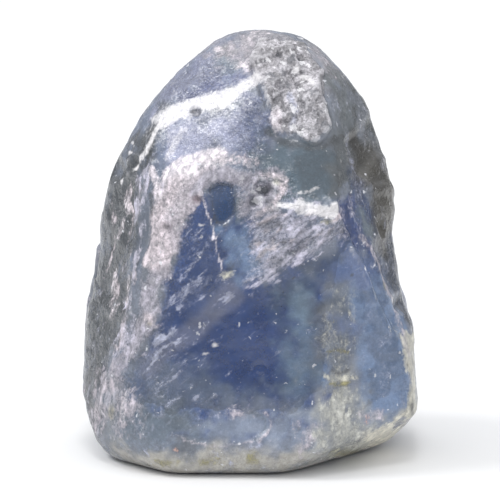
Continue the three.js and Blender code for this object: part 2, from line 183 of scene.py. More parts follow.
# Grooves, ridges and veins: side, height, distance from the middle to where it ends, path
LINES = {
    "white vein": ("front", 0.08, 0.16, [
        (-1.9, 10.9), (-1.7, 10.3), (-1.5, 9.8), (-1.35, 9.2), (-1.25, 8.8), (-0.95, 7.8)]),
    "ledge lip": ("front", 0.06, 0.4, [(0.3, 9.9), (0.9, 10.5), (1.5, 10.6), (2.6, 10.55), (3.4, 10.6)]),
    "upper frost fold": ("front", 0.06, 0.6, [(-2.9, 12.2), (-2, 12.1), (-1, 11.9), (-0.3, 11.5)]),
    "frost edge": ("front", 0.08, 0.3, [(-2.7, 9.7), (-3.3, 8.2), (-3.6, 6.8), (-4, 5.4), (-4.7, 4.4)]),
    "right groove": ("front", -0.2, 0.3, [(3.6, 10.6), (4.4, 8.8), (5.15, 7.2), (5.7, 5.9)]),
    "right groove rim": ("front", 0.12, 0.24, [(3.95, 8.8), (4.7, 7), (5.3, 5.6)]),
    "yellow furrow": ("front", -0.13, 0.5, [(3.2, 6.2), (3.5, 5), (3.5, 3.4)]),
    "left streak": ("front", 0.08, 0.3, [(-3.9, 12.2), (-4.3, 10.4), (-4.6, 8.4), (-4.7, 6.4)]),
    "outer left streak": ("front", 0.07, 0.3, [(-4.9, 10.8), (-5.3, 8.6), (-5.5, 6.2)]),
    "shell edge": ("front", 0.06, 0.14, [(-0.9, 2.6), (-0.1, 2.6), (0.6, 2.3), (0.7, 1.8), (0.2, 1.3)]),
    "low shell edge": ("front", 0.05, 0.14, [(-3, 1.5), (-2.2, 1.2), (-1.2, 1.1), (0, 1.2)]),
    "back crack": ("back", -0.08, 0.18, BACK_CRACK),
    "back ridge": ("back", 0.14, 0.4, [(-4.6, 9.6), (-2.4, 10), (-0.6, 9.8), (1.2, 9.4)]),
    "right vein": ("right", 0.1, 0.4, [(-2.2, 11.6), (-1, 10.4), (0.6, 10), (2.2, 8.8)]),
}

# The shape of a pit, over its radius and depth
PIT_EDGE = 1.1
RIM_RADIUS = 1.15
RIM_WIDTH = 0.4
RIM_HEIGHT = 0.25

# Round pits: side, s, t, radius to the rim, depth
PITS = [
    ("front", 0.5, 11.2, 0.4, 0.24),
    ("front", 0.1, 10.7, 0.3, 0.22),
    ("front", -2.2, 14.3, 0.27, 0.12),
    ("front", -3.2, 9.76, 0.26, 0.14),
    ("front", -0.7, 8.1, 0.3, 0.12),
    ("front", 1.2, 15.2, 0.3, 0.16),
    ("front", 6.1, 6.75, 0.4, 0.14),
    ("front", -5.4, 12.1, 0.55, 0.18),
    ("front", -2.75, 15.9, 0.7, 0.2),
    ("right", -1.4, 9, 0.42, 0.16),
    ("right", 1.6, 11.6, 0.5, 0.16),
    ("right", 0.4, 4.1, 0.45, 0.14),
    ("back", -1.8, 12.6, 0.5, 0.18),
    ("back", -2.6, 11.9, 0.36, 0.14),
    ("back", 3.4, 4, 0.5, 0.16),
    ("back", -4.4, 3.2, 0.42, 0.14),
    ("left", 0.8, 11.4, 0.45, 0.15),
    ("left", -2.2, 4.6, 0.5, 0.15),
]

# A shell-shaped chip where the base was broken: s, t, half width, half height, depth
SHELL = (0.5, 2.2, 1.6, 0.95, 0.2)

# Fine relief all over the stone, in millimetres
SWELLS = (0.04, 0.6, 3, 21.0)                    # height, size, layers, shift
CREASES = (0.05, 0.7, 31.0)                      # height, size, shift
GRIT_GRAINS = (0.12, 0.34, 3.5)                  # height over size, size, shift
RING_WIDTH = 0.09                                # width of a percussion ring's line
GLASS_SMOOTHNESS = 0.8                           # how much smoother clear glass is than the rest

# Small pits and percussion rings: depth, spacing, shift, share left out, smallest radius, its spread
SMALL_PITS = (0.07, 0.9, 12.0, 0.45, 0.1, 0.12)
RINGS = (0.035, 1.6, 17.0, 0.4, 0.12, 0.16)

# Slow waviness that water wear leaves on every face: the size of a wave and its height
WAVES = [(3.2, 0.07), (1.5, 0.04)]

STREAK_CELL = 0.2            # width of a streak
STREAK_LAYERS = 3
STREAK_CONTRAST = 2.6        # how sharp the edges of a streak are

# Streaked strokes: slant in degrees above level, rising to the right, length over width, and fill
STREAKS = {
    "slanting streaks": (36, 10, 0.25),
    "slanting lumps": (34, 3, 0.4),
    "steep streaks": (78, 8, 0.4),
    "sparse streaks": (80, 5, -0.15),
    "sparse lumps": (34, 3, -0.1),
}

# The stone's colours: its glassy body, and the skin of frost, crust and cream over it,
# then the colours that its material adds, and the paper that it stands on
COLOURS = {
    "slate": "#6A758C", "smoke": "#5E646E", "milk": "#868D9C", "dark smoke": "#464B52",
    # The first colour on the next line is a dark smoky glass tone. It is also painted shade under the crust,
    # in the floors of the craters and in the folds under the ledge.
    "deep smoke": "#3C4147", "pale slate": "#757A92", "violet": "#565E82", "teal": "#72808F",
    "grey": "#8B8A92", "lavender": "#969AB4", "dusk": "#59627F", "grey green": "#475865",
    "strip grey": "#5A6065", "green grey": "#2A3132", "dark flank": "#1C1A18", "flank blue": "#22365A",
    "flank edge": "#2C3546", "blotch": "#5F6C78", "window blue": "#2C4679", "pale blue": "#7A94B8",
    "deep blue": "#0A3672", "keyhole blue": "#183C68", "under ledge": "#3D516D", "dull blue": "#5E748E",
    "patch blue": "#748A9E", "column blue": "#52648A", "sliver blue": "#1C3468", "furrow grey": "#646B74",
    "clean blue": "#657A9A", "milky blue": "#5F6D86", "band grey": "#7F8A9E", "foot grey": "#5D6976",
    "edge grey": "#A9A69F", "cream grey": "#A6A7A4", "cream": "#BDBAAD", "light cream": "#D8D4C6",
    "pale cream": "#B1B1AA", "frost": "#B3ABB3", "white frost": "#E6DDE3", "pink frost": "#CBC0C6",
    "lump frost": "#B8B5C5", "low frost": "#9E9AA6", "grey frost": "#9596A1", "keyhole frost": "#9894A0",
    "blue frost": "#9599AD", "crust": "#A8A5AA", "olive": "#35322A", "stain": "#857F52", "pink": "#F3B9A0",
    # The last colour on the next line is pale partly from wear and partly as painted highlight on raised
    # crests.
    "rust": "#4A3540", "dirt": "#33363C", "scratch": "#A4ABBB", "worn crest": "#E4E2E8",
    # The first colour on the next line is painted shade for the hollows, and the third colour there is
    # painted glints.
    "hollow dirt": "#3E424C", "pale speck": "#E2E3EA", "bright speck": "#F4F3F6", "dark speck": "#5A5D66",
    # The first colour on the next line is the white of the painted highlights.
    "polish": "#F8F5F7", "inner blue": "#2864D2", "paper": "#F4F4F4",
}

# The paint by side and layer, brushed on in this order. Each stroke: colour, where its layer has one,
# strength, width, kind, shape. An outline has a soft edge of the given width, and a path that half width.
# Ovals give their middles and half sizes. Streaks and lumps fill their outline in part.
PAINT = {}
PAINT["front", "body"] = {
    "smoky left margin": ("deep smoke", 1.0, 1.0, "outline", [
        (-3.7, 14.8), (-5.3, 12.2), (-6.1, 10.2), (-6.6, 7.2), (-7, 2.2), (-6, 1), (-5.4, 1.4), (-5.7, 2.8),
        (-4.6, 6.8), (-4, 12.2), (-3.4, 13.6)]),
    "dark upper margin": ("deep smoke", 0.9, 0.9, "outline", [
        (-4.2, 13.6), (-5.2, 12.4), (-5.7, 10.9), (-5.3, 10.4), (-4.5, 11.2), (-4, 12.8)]),
    "dark waist": ("deep smoke", 0.6, 0.9, "outline", [
        (-5.9, 8.2), (-6.3, 7.2), (-6.3, 5.4), (-5.6, 5.2), (-5.2, 6.6), (-5.3, 8)]),
    "slate cap": ("pale slate", 1.0, 0.8, "outline", [
        (-3.7, 14.2), (-3.3, 15.2), (-1.4, 17.2), (0.5, 17.6), (0.7, 16), (0.5, 15.4), (-1.3, 15.1)]),
    "violet above the ridge": ("violet", 0.9, 0.6, "outline", [
        (-2.9, 14.8), (-1.6, 15.7), (-0.4, 16.1), (0.2, 15.7), (-2.5, 14.6)]),
    "teal glass": ("teal", 0.9, 0.6, "outline", [(-1.4, 16.6), (-0.4, 16.5), (0.1, 15.8), (-1, 15.6)]),
    "grey top": ("grey", 1.0, 0.9, "outline", [
        (-1.7, 16.8), (0.5, 17.6), (2, 17.3), (2.9, 16.4), (3.2, 15.4), (3.2, 15), (0.5, 15.3),
        (0.2, 15.9)]),
    "lavender shoulder": ("lavender", 1.0, 1.0, "outline", [
        (-3.4, 13.7), (-2, 13.8), (-0.4, 14.7), (0.2, 13.8), (-0.2, 13.2), (-0.9, 12.8), (-3.1, 12.5),
        (-3.7, 12.8)]),
    "violet dusk": ("dusk", 1.0, 1.0, "outline", [
        (-0.8, 14.4), (0.5, 14.9), (0.9, 13.6), (1.6, 13.1), (0.9, 12.5), (-0.3, 13.1)]),
    "grey green shoulder": ("grey green", 1.0, 0.9, "outline", [
        (0.2, 13.2), (3.5, 12.8), (3.7, 11.4), (2.7, 10.5), (1, 10.6), (0.3, 11.7)]),
    "glass strip": ("strip grey", 1.0, 0.6, "outline", [
        (3, 15.9), (3.8, 15.3), (4.1, 14), (4.1, 12.2), (3.7, 10.9), (3.2, 11.2), (3.3, 14.4)]),
    "green flank": ("green grey", 1.0, 0.8, "outline", [
        (3.9, 15.6), (4.8, 14.8), (5.7, 13.4), (5.8, 12.2), (4.5, 13.4), (4.4, 14.4)]),
    "dark flank": ("dark flank", 1.0, 0.6, "outline", [
        (4.1, 13.2), (4.6, 13.4), (5.3, 12.8), (6.2, 11), (6.6, 9), (6.2, 8.2), (5.4, 8.8)]),
    "flank edge": ("flank edge", 1.0, 0.6, "outline", [
        (5.2, 9), (6, 9.2), (6.8, 8.4), (6.8, 5.6), (6.1, 5.8)]),
    "blue flank": ("flank blue", 1.0, 0.3, "outline", [
        (3.8, 12.2), (4.3, 12.2), (5.5, 8.5), (5.8, 7.2), (5.4, 7), (4.9, 8.2), (4, 10.6)]),
    "greenish blotch": ("blotch", 1.0, 0.4, "outline", [
        (3.9, 10.6), (4.4, 10.6), (4.9, 9.7), (4.8, 9.1), (4.3, 9.5)]),
    "window": ("window blue", 1.0, 0.3, "outline", [
        *WINDOW_EDGE, (-4.9, 3.4), (-4.6, 1.6), (-0.8, 1.2), (2.6, 1.6), (3.6, 3.4), (3.4, 8), (2, 8.6),
        (0.6, 7.6), (0.2, 8.3), (0, 9.8), (-0.6, 10.2), (-1.1, 9.7), (-1.5, 10.4)]),
    "pale window": ("pale blue", 0.9, 0.9, "outline", [
        (-1.1, 10.2), (0, 9.9), (0.6, 9), (0.4, 8), (-0.5, 7.7), (-1, 8.3), (-1.3, 9.2)]),
    "deep window": ("deep blue", 0.8, 1.6, "outline", [
        (-1.8, 5.8), (-0.6, 6.4), (1, 6.4), (1.5, 4.8), (1.1, 3.2), (-0.2, 2.9), (-1.3, 3.4), (-1.8, 4.6)]),
    "milky corner": ("milky blue", 0.9, 1.4, "outline", [
        (-4.9, 4.6), (-3.4, 4.9), (-1.2, 3.5), (1, 3.3), (2.6, 3.5), (2.6, 2.2), (-5.1, 2.2)]),
    "haze along the frost band": ("pale slate", 0.6, 0.4, "path", [
        (-4.2, 4.2), (-3, 5.3), (-1.8, 6.2), (-0.7, 7.2)]),
    "under the ledge": ("under ledge", 0.9, 0.9, "outline", [
        (0.5, 7.3), (3.6, 9.2), (3.8, 8.3), (2.8, 7.2), (1.2, 6.6)]),
    "right of the window": ("dull blue", 1.0, 1.5, "outline", [
        (1.3, 6.8), (2.9, 6.6), (3.1, 3.2), (1.8, 2.6), (1.2, 4.4)]),
    "pale patch": ("patch blue", 1.0, 1.0, "outline", [(1.5, 6.8), (2.7, 7.2), (2.9, 6), (1.7, 5.9)]),
    "right column": ("column blue", 1.0, 0.9, "outline", [
        (3.2, 9.6), (4.4, 8.8), (5, 7), (3.9, 4.4), (2.9, 3.4), (2.6, 7.4), (3.6, 8.4)]),
    "blue sliver": ("sliver blue", 0.9, 0.4, "outline", [
        (3.4, 10.7), (3.9, 10.7), (4.6, 8.8), (4, 8.9), (3.5, 9.6)]),
    "furrow bed": ("furrow grey", 0.9, 1.2, "outline", [
        (2.7, 7.4), (3.8, 7), (4.2, 3.4), (4, 2.8), (2.9, 2.8)]),
    "right front": ("clean blue", 1.0, 0.7, "outline", [
        (4.3, 7), (5.2, 7.6), (5.8, 6.4), (6.2, 4.8), (6.3, 3), (5.8, 2), (4.6, 1.7), (4.2, 3), (4.1, 5.2)]),
    "bottom band": ("band grey", 1.0, 1.5, "outline", [
        (-4.2, 2.2), (3.4, 2.8), (3.4, 1), (-4, 1), (-5.3, 1.4)]),
    "bottom left": ("foot grey", 0.9, 1.2, "outline", [
        (-5.6, 3), (-3.4, 2.9), (-1.8, 2.2), (-1.9, 1.1), (-4.8, 1), (-5.8, 1.6)]),
    "lower edge": ("edge grey", 1.0, 0.8, "outline", [
        (-5.6, 1), (3.2, 0.9), (5.4, 1.6), (6.2, 2.2), (6.4, 1.6), (5.2, 0.7), (-0.4, -0.2), (-4, 0),
        (-5.6, 0.5)]),
    "cream foot": ("cream grey", 0.75, 1.6, "outline", [
        (2.7, 3.6), (4.1, 3.4), (4.5, 2.2), (6, 1.9), (5.4, 0.6), (2.7, 0.4), (2.4, 2)]),
    "keyhole": ("keyhole blue", 1.0, 0.06, "outline", KEYHOLE),
    "light beside the keyhole": ("blotch", 0.7, 0.3, "outline", [
        (-0.55, 11), (-0.2, 10.8), (-0.1, 10.2), (-0.5, 9.9)]),
    "olive spots": ("olive", 0.88, 1.2, "ovals", [(4.6, 12.3, 0.6, 1.1), (5.4, 10.4, 0.5, 1.6)]),
    "shadow under the crust": ("deep smoke", 0.7, 0.16, "path", [
        (0.6, 13.5), (1.2, 13.1), (2, 12.85), (2.7, 12.8), (3.3, 13.1)]),
}
PAINT["right", "body"] = {
    "right blue": ("window blue", 0.8, 1.4, "outline", [
        (-2.6, 2.4), (-2.8, 7.6), (-0.6, 9), (1.8, 7.4), (2, 3.4), (-0.4, 1.8)]),
    "right smoke": ("dark smoke", 0.8, 1.4, "outline", [
        (-1.4, 9), (-1.6, 12), (0.6, 13.6), (3.6, 11), (3.6, 7), (2, 8)]),
}
PAINT["back", "body"] = {
    "back blue": ("window blue", 0.8, 1.4, "outline", [
        (-4.2, 2.4), (-4.4, 5.6), (-2.6, 7.6), (-0.2, 7.2), (1.2, 5), (0.4, 2.6), (-1.6, 1.6)]),
    "back smoke": ("dark smoke", 0.8, 1.6, "outline", [(2, 2), (2.4, 6), (4, 9), (6.4, 8), (6.4, 2)]),
}
PAINT["left", "body"] = {
    "left blue": ("dusk", 0.8, 1.4, "outline", [
        (-4.4, 3), (-4.6, 8), (-3, 10), (-1.9, 8), (-2, 4), (-3, 2)]),
}
PAINT["front", "skin"] = {
    "curtain": ("frost", 0.88, 0.3, "outline", [
        (-3.2, 11.6), (-2, 12), (-1, 12.1), (-0.4, 11.9), (-0.2, 11.7), (-0.4, 11.4), *CURTAIN_EDGE,
        (-3.1, 8.2), (-3.3, 7.7), (-4.1, 7.9), (-4, 8.8), (-3.7, 9.7), (-3.8, 10.8), (-3.7, 11.4)]),
    "lower curtain": ("low frost", 0.8, 0.4, "outline", [
        (-3, 8.4), (-3.3, 7.5), (-3.4, 6.4), (-3.6, 5.7), (-4.1, 5.1), (-4.7, 4.4), (-5.1, 3.6), (-5.8, 3.6),
        (-5.4, 4.4), (-4.8, 5.4), (-4.5, 6.4), (-4.3, 7.6), (-4.1, 8.6)]),
    "curtain foot": ("frost", 0.68, 1.0, "outline", [
        (-5, 4.2), (-4.7, 1.6), (-6.2, 1.4), (-6.7, 2.6), (-6, 4)]),
    "curtain fringe": ("lump frost", 0.9, 0.8, "steep streaks", [
        (-4.1, 12.2), (-3.6, 11.6), (-3.7, 9.5), (-4.5, 5.8), (-6, 3), (-5.8, 4.6), (-4.9, 6.4),
        (-4.5, 10.6)]),
    "white band": ("white frost", 0.92, 0.42, "path", [
        (-3.1, 11.6), (-2.7, 12), (-1.8, 12.3), (-1.2, 12.35)]),
    "end of the white band": ("pink frost", 0.5, 0.3, "path", [(-1, 12.35), (-0.4, 12.3), (0, 12.1)]),
    "frost round the keyhole": ("keyhole frost", 0.97, 0.26, "path", [
        (-2.2, 11.2), (-1.7, 11.6), (-0.9, 11.75), (-0.3, 11.5)]),
    "pink upper curtain": ("pink frost", 0.88, 0.4, "path", [
        (-3.1, 11.4), (-3.5, 10.4), (-3.4, 9.4), (-3.6, 8.4)]),
    "lumps under the ledge": ("lump frost", 0.66, 1.3, "outline", [
        (0.3, 10.2), (1, 10.6), (3.4, 10.3), (3.8, 9.4), (2.4, 8.8), (0.5, 7.2), (0.1, 7.4), (0.2, 8.3),
        (-0.1, 9.2)]),
    "ridges under the ledge": ("lump frost", 0.86, 1.8, "slanting lumps", [
        (0.2, 10.3), (1, 10.7), (3.4, 10.4), (3.9, 10), (3.8, 9.2), (2.4, 8.8), (0.2, 7), (-0.2, 9.2)]),
    # Painted highlights on the ridges of the lumps under the ledge.
    "painted highlights on the ridges under the ledge": ("pink frost", 0.9, 0.8, "sparse lumps", [
        (0.2, 10.3), (1, 10.6), (3.4, 10.3), (3.7, 9.9), (3, 9.5), (1.6, 8.9), (0.7, 8), (0.1, 8.3),
        (-0.1, 9.2)]),
    "shoulder bloom": ("blue frost", 0.45, 1.4, "outline", [
        (-3.4, 13.4), (-0.4, 14.4), (-0.6, 13.4), (-1.6, 12.6), (-3.8, 12.4)]),
    "crater field": ("keyhole frost", 0.8, 0.5, "outline", [
        (-0.6, 11.9), (0.4, 12.1), (1.4, 11.9), (1.6, 11.2), (1.2, 10.4), (0.4, 10.2), (-0.2, 10.4)]),
    # Painted highlight on the craters' rims.
    "painted highlight on the crater rims": ("pink frost", 0.75, 0.14, "path", [
        (0.35, 10.15), (0.85, 10.5), (1.15, 11.05), (1.35, 11.6), (0.9, 11.75), (0.5, 11.7)]),
    "drips": ("frost", 0.5, 0.6, "steep streaks", [(1.2, 2.2), (3, 2.6), (3.4, 0.8), (1.4, 0.6)]),
    "top bloom": ("frost", 0.48, 1.0, "outline", [
        (-1.8, 16.8), (-0.2, 17.4), (2.4, 17), (3, 15.6), (0.6, 15.4)]),
    "cap veil": ("frost", 0.5, 0.8, "outline", [
        (-0.9, 16.2), (-0.5, 17.1), (0.7, 17.3), (1.1, 15.6), (0.3, 15.2)]),
    "cap lumps": ("white frost", 0.65, 0.8, "sparse lumps", [
        (-1.6, 16.4), (-0.8, 17.2), (0.7, 17.4), (0.9, 15.6), (0.1, 15.2)]),
    "left streaks": ("pink frost", 0.62, 0.7, "sparse streaks", [
        (-5.2, 11), (-4.4, 12), (-4.1, 10), (-4.4, 7.2), (-4.9, 5.4), (-5.4, 4.6), (-5.8, 6), (-5.8, 7.6)]),
    "left drips": ("white frost", 0.5, 0.09, "paths", [
        [(-4.9, 10.9), (-4.85, 10.3)], [(-5, 10), (-5.2, 9.3)], [(-5.35, 8.1), (-5.5, 7.1)],
        [(-4.75, 7.8), (-4.9, 6.8)], [(-5.3, 6.7), (-5.45, 6.1)]]),
    "knee of the curtain": ("pink frost", 0.8, 1.2, "ovals", [(-3.95, 6.1, 0.3, 0.35)]),
    "low left streaks": ("grey frost", 0.6, 0.9, "sparse streaks", [
        (-6.9, 5), (-5.4, 5), (-5, 3), (-5, 1.2), (-6.3, 1), (-7, 2.4)]),
    "crust tongue": ("crust", 1.0, 0.2, "outline", CRUST),
    "furrow in the crust": ("blue frost", 0.8, 0.12, "path", [(1.5, 14.9), (1.75, 14.2), (1.6, 13.6)]),
    "right margin frost": ("grey frost", 0.45, 0.8, "sparse streaks", [
        (3.6, 15.6), (4.8, 14.6), (5.8, 12), (6.2, 9.6), (5.4, 9.6), (3.8, 14)]),
    "cream rim": ("cream", 1.0, 0.4, "outline", [
        (5.95, 5.8), (6.35, 3.8), (6.1, 2.2), (6.3, 1.6), (7, 2.4), (7.2, 4), (6.6, 5.6)]),
    "cream patches": ("pale cream", 0.74, 1.0, "outline", [
        (2.9, 3.2), (3.9, 2.9), (4.7, 1.9), (5.8, 2), (5.2, 0.9), (3.4, 0.5), (2.8, 1.4)]),
    "cream lower right": ("light cream", 1.0, 0.8, "outline", [
        (4.4, 2), (6.4, 2.2), (6.2, 1), (4.8, 0.6)]),
    "cream streaks": ("pale cream", 0.8, 0.7, "steep streaks", [
        (2.7, 3.4), (4, 3.3), (4.3, 1.4), (3.2, 0.6), (2.6, 1.6)]),
    "furrow crust": ("cream", 0.38, 0.7, "outline", [(2.9, 7), (3.6, 7), (3.9, 5.4), (4.1, 3.2), (3, 3)]),
    "pink ridge": ("white frost", 0.75, 0.16, "path", [(-3.9, 12), (-3.7, 11.4), (-3.6, 10.9)]),
    "white vein": ("white frost", 0.68, 0.055, "path", [
        (-1.9, 11), (-1.7, 10.3), (-1.5, 9.8), (-1.4, 9.3), (-1.3, 8.8), (-1.1, 8.1)]),
    "window veil": ("blue frost", 0.6, 0.9, "slanting streaks", [
        (-3.2, 7.6), (-2.6, 9.2), (-1.9, 8.6), (-1.4, 7.6), (-2.2, 6.8), (-3.3, 6.6)]),
    "frost band in the window": ("blue frost", 1.0, 0.4, "slanting streaks", [
        (-4.3, 4.2), (-3.6, 5.3), (-0.9, 7.4), (-0.5, 7.1), (-2, 5.7), (-2.9, 5.2), (-3.6, 4.5)]),
    "low scratches": ("blue frost", 0.5, 0.8, "slanting streaks", [
        (-4.2, 3), (-3.4, 4.3), (-2.4, 4.9), (-1.9, 4.3), (-3, 3.2)]),
    "middle veil": ("grey frost", 0.3, 1.0, "slanting streaks", [
        (-0.8, 8), (0.4, 7.8), (1.4, 6.2), (1.2, 5), (0, 6.2)]),
    "bottom veil": ("blue frost", 0.3, 1.4, "slanting streaks", [
        (-4.8, 2.8), (2.6, 2.4), (2.6, 0.8), (-4.4, 0.8)]),
    "right pale line": ("frost", 0.6, 0.1, "path", [
        (4.4, 9.4), (5.2, 8.3), (5.6, 7.2), (5.8, 6.8), (6, 5.9), (6.3, 4.7)]),
    "blue violet ridge": ("blue frost", 0.5, 0.14, "path", [(3.7, 13.6), (4, 12.4), (4.3, 10.8)]),
    "right edge frost": ("blue frost", 0.2, 0.4, "sparse streaks", [
        (4.2, 10.8), (4.8, 10.4), (5.6, 8.4), (6.2, 6), (5.8, 5.8), (4.1, 9.4)]),
    "foot streak": ("white frost", 0.6, 0.08, "path", [(-5.1, 2.1), (-5, 2.8), (-4.8, 3.4)]),
    # Painted glints on the cap and on the edge of the crust.
    "painted glints on the cap and crust": ("white frost", 0.9, 1.0, "ovals", [(-1.28, 16.8, 0.2, 0.13), (1.05, 13.9, 0.24, 0.42)]),
    "cream spots": ("cream", 0.7, 1.1, "ovals", [(-0.9, 7.9, 0.34, 0.2), (0.95, 11.5, 0.22, 0.18)]),
    "shell lines": ("frost", 0.45, 0.07, "paths", [
        [(-0.9, 2.65), (-0.1, 2.68), (0.65, 2.4), (0.8, 1.9), (0.35, 1.3)],
        [(-3.1, 1.6), (-2.2, 1.25), (-1.2, 1.15), (0, 1.3)]]),
    "flecks low on the right": ("blue frost", 0.33, 1.2, "outline", [
        (4.4, 6.4), (5.3, 6.6), (5.9, 4.8), (6, 2.8), (5.2, 2.4), (4.4, 4.6)]),
    "rings": ("blue frost", 0.55, 1.1, "ovals", [
        (-3.6, 2.4, 0.26, 0.2), (-0.85, 4, 0.1, 0.08), (-2.2, 3.1, 0.18, 0.16)]),
    "foot stains": ("stain", 0.72, 1.4, "ovals", [
        (-3.3, 0.5, 0.5, 0.2), (-1.7, 0.5, 0.5, 0.2), (0.1, 0.8, 0.3, 0.3), (3.8, 0.8, 0.8, 0.2)]),
    "furrow stains": ("stain", 0.75, 0.09, "paths", [
        [(3, 4.85), (3.4, 4.9), (3.8, 4.8)], [(3.1, 3.6), (3.5, 3.5), (3.9, 3.6)]]),
    "furrow rung": ("cream", 0.55, 0.14, "path", [(2.9, 3.9), (3.4, 3.75), (4.1, 3.8)]),
    "small stains": ("stain", 0.52, 1.3, "ovals", [
        (-3.9, 5.9, 0.14, 0.12), (-1.9, 5.9, 0.14, 0.1), (-5.5, 2.4, 0.2, 0.4), (3.4, 6, 0.16, 0.24),
        (3.0, 9.9, 0.3, 0.14), (5.4, 7.4, 0.12, 0.24)]),
    "pale patches": ("frost", 0.55, 1.3, "ovals", [
        (-1.28, 16.1, 0.3, 0.2), (-0.5, 2.4, 0.7, 0.35), (4.8, 2.35, 0.6, 0.35)]),
    "pink glows": ("pink", 0.6, 1.2, "ovals", [(-2.9, 0.95, 0.14, 0.1), (4.6, 2.2, 0.1, 0.2)]),
}
PAINT["right", "skin"] = {
    "right veil": ("blue frost", 0.5, 1.4, "slanting lumps", [
        (-3, 7.4), (-2.4, 10.4), (0.6, 11.4), (3.4, 9.4), (1.4, 7.6), (-1, 7)]),
    "right frost": ("grey frost", 0.45, 1.6, "steep streaks", [
        (1.4, 1.6), (2, 6), (3.4, 8), (4.6, 6), (4.4, 2)]),
    "right foot": ("cream", 0.55, 0.9, "outline", [
        (-4.6, 0), (-4.8, 2.2), (-1.4, 1.8), (1, 1.2), (4.6, 1.7), (4.6, 0)]),
    "right cream": ("cream", 0.6, 1.4, "sparse streaks", [
        (-4, 1), (-4, 6), (-2.6, 6.4), (-1.2, 5), (-0.4, 1)]),
    "right crust": ("crust", 0.8, 0.6, "outline", [(0.4, 12.6), (0.2, 14.8), (2.4, 15), (2.8, 13)]),
}
PAINT["back", "skin"] = {
    "back crust": ("crust", 1.0, 0.3, "outline", BACK_CRUST),
    "back veil": ("blue frost", 0.5, 1.6, "slanting streaks", [
        (-4.6, 7.4), (-2.4, 10), (2.6, 10.6), (4.4, 9), (1.4, 7.4), (-2.4, 6.6)]),
    "back fringe": ("frost", 0.6, 1.4, "sparse streaks", [
        (2.2, 1.4), (2.6, 8), (4.6, 9.4), (6, 7), (6.2, 1.4)]),
    "back frost": ("frost", 0.45, 1.6, "slanting lumps", [
        (-5.4, 10.4), (-2.2, 11.4), (0.4, 11), (-0.6, 13), (-3.2, 13.4), (-4.6, 12.4)]),
    "back foot": ("cream", 0.48, 1.0, "outline", [
        (-6, 0), (-6.2, 1.6), (-3, 1.2), (1.4, 1.5), (5.8, 1.2), (6, 0)]),
    "back stain": ("stain", 0.5, 1.4, "ovals", [(2.2, 1, 0.8, 0.3)]),
}
PAINT["left", "skin"] = {
    "left veil": ("frost", 0.6, 1.4, "sparse streaks", [
        (-3.6, 2), (-3.4, 9), (-2, 13), (0.4, 12), (0.6, 6), (-0.6, 2)]),
    "left frost": ("grey frost", 0.5, 1.4, "slanting lumps", [
        (0.4, 9.6), (0.2, 13), (2.2, 14), (3.6, 11), (2.6, 8.8)]),
    "left foot": ("cream", 0.45, 1.0, "outline", [(-4.6, 0), (-4.8, 1.5), (0, 1.2), (4.8, 1.6), (4.8, 0)]),
}
PAINT["front", "clear"] = {
    "clear window": (1.0, 0.4, "outline", [
        *WINDOW_EDGE, (-5, 3.6), (-4.6, 2.8), (-0.8, 2.4), (2, 2.6), (2.9, 3.4), (2.9, 6.8), (4.2, 9.4),
        (3.4, 10.6), (1, 10.5), (0, 10.6), (-0.5, 11.4), (-1.3, 11.5), (-1.7, 11.3)]),
    "clear cap": (0.5, 1.0, "outline", [(-3.6, 14.4), (-3, 15.6), (-1.4, 17), (-0.2, 16.2), (0, 15.6)]),
    "clear right front": (0.6, 1.0, "outline", [
        (4.3, 7), (5.2, 7.6), (6.2, 4.8), (6.2, 3), (4.6, 2.2), (4.2, 3.6)]),
    "clear shoulder": (0.6, 0.8, "outline", [
        (1.6, 12.6), (3.4, 13.4), (4.2, 14.6), (5, 12.6), (3.8, 10.8), (2, 11.2)]),
}
PAINT["right", "clear"] = {
    "right window": (0.8, 0.8, "outline", [
        (-2.4, 2.6), (-2.6, 7.6), (-0.6, 8.6), (1.2, 7), (1.4, 3.4), (-0.4, 2)]),
}
PAINT["back", "clear"] = {
    "back window": (0.9, 0.8, "outline", [
        (-3.6, 2.6), (-4, 5.4), (-2.6, 7.4), (-0.4, 7.2), (0.8, 5.2), (0.2, 3), (-1.6, 2)]),
}
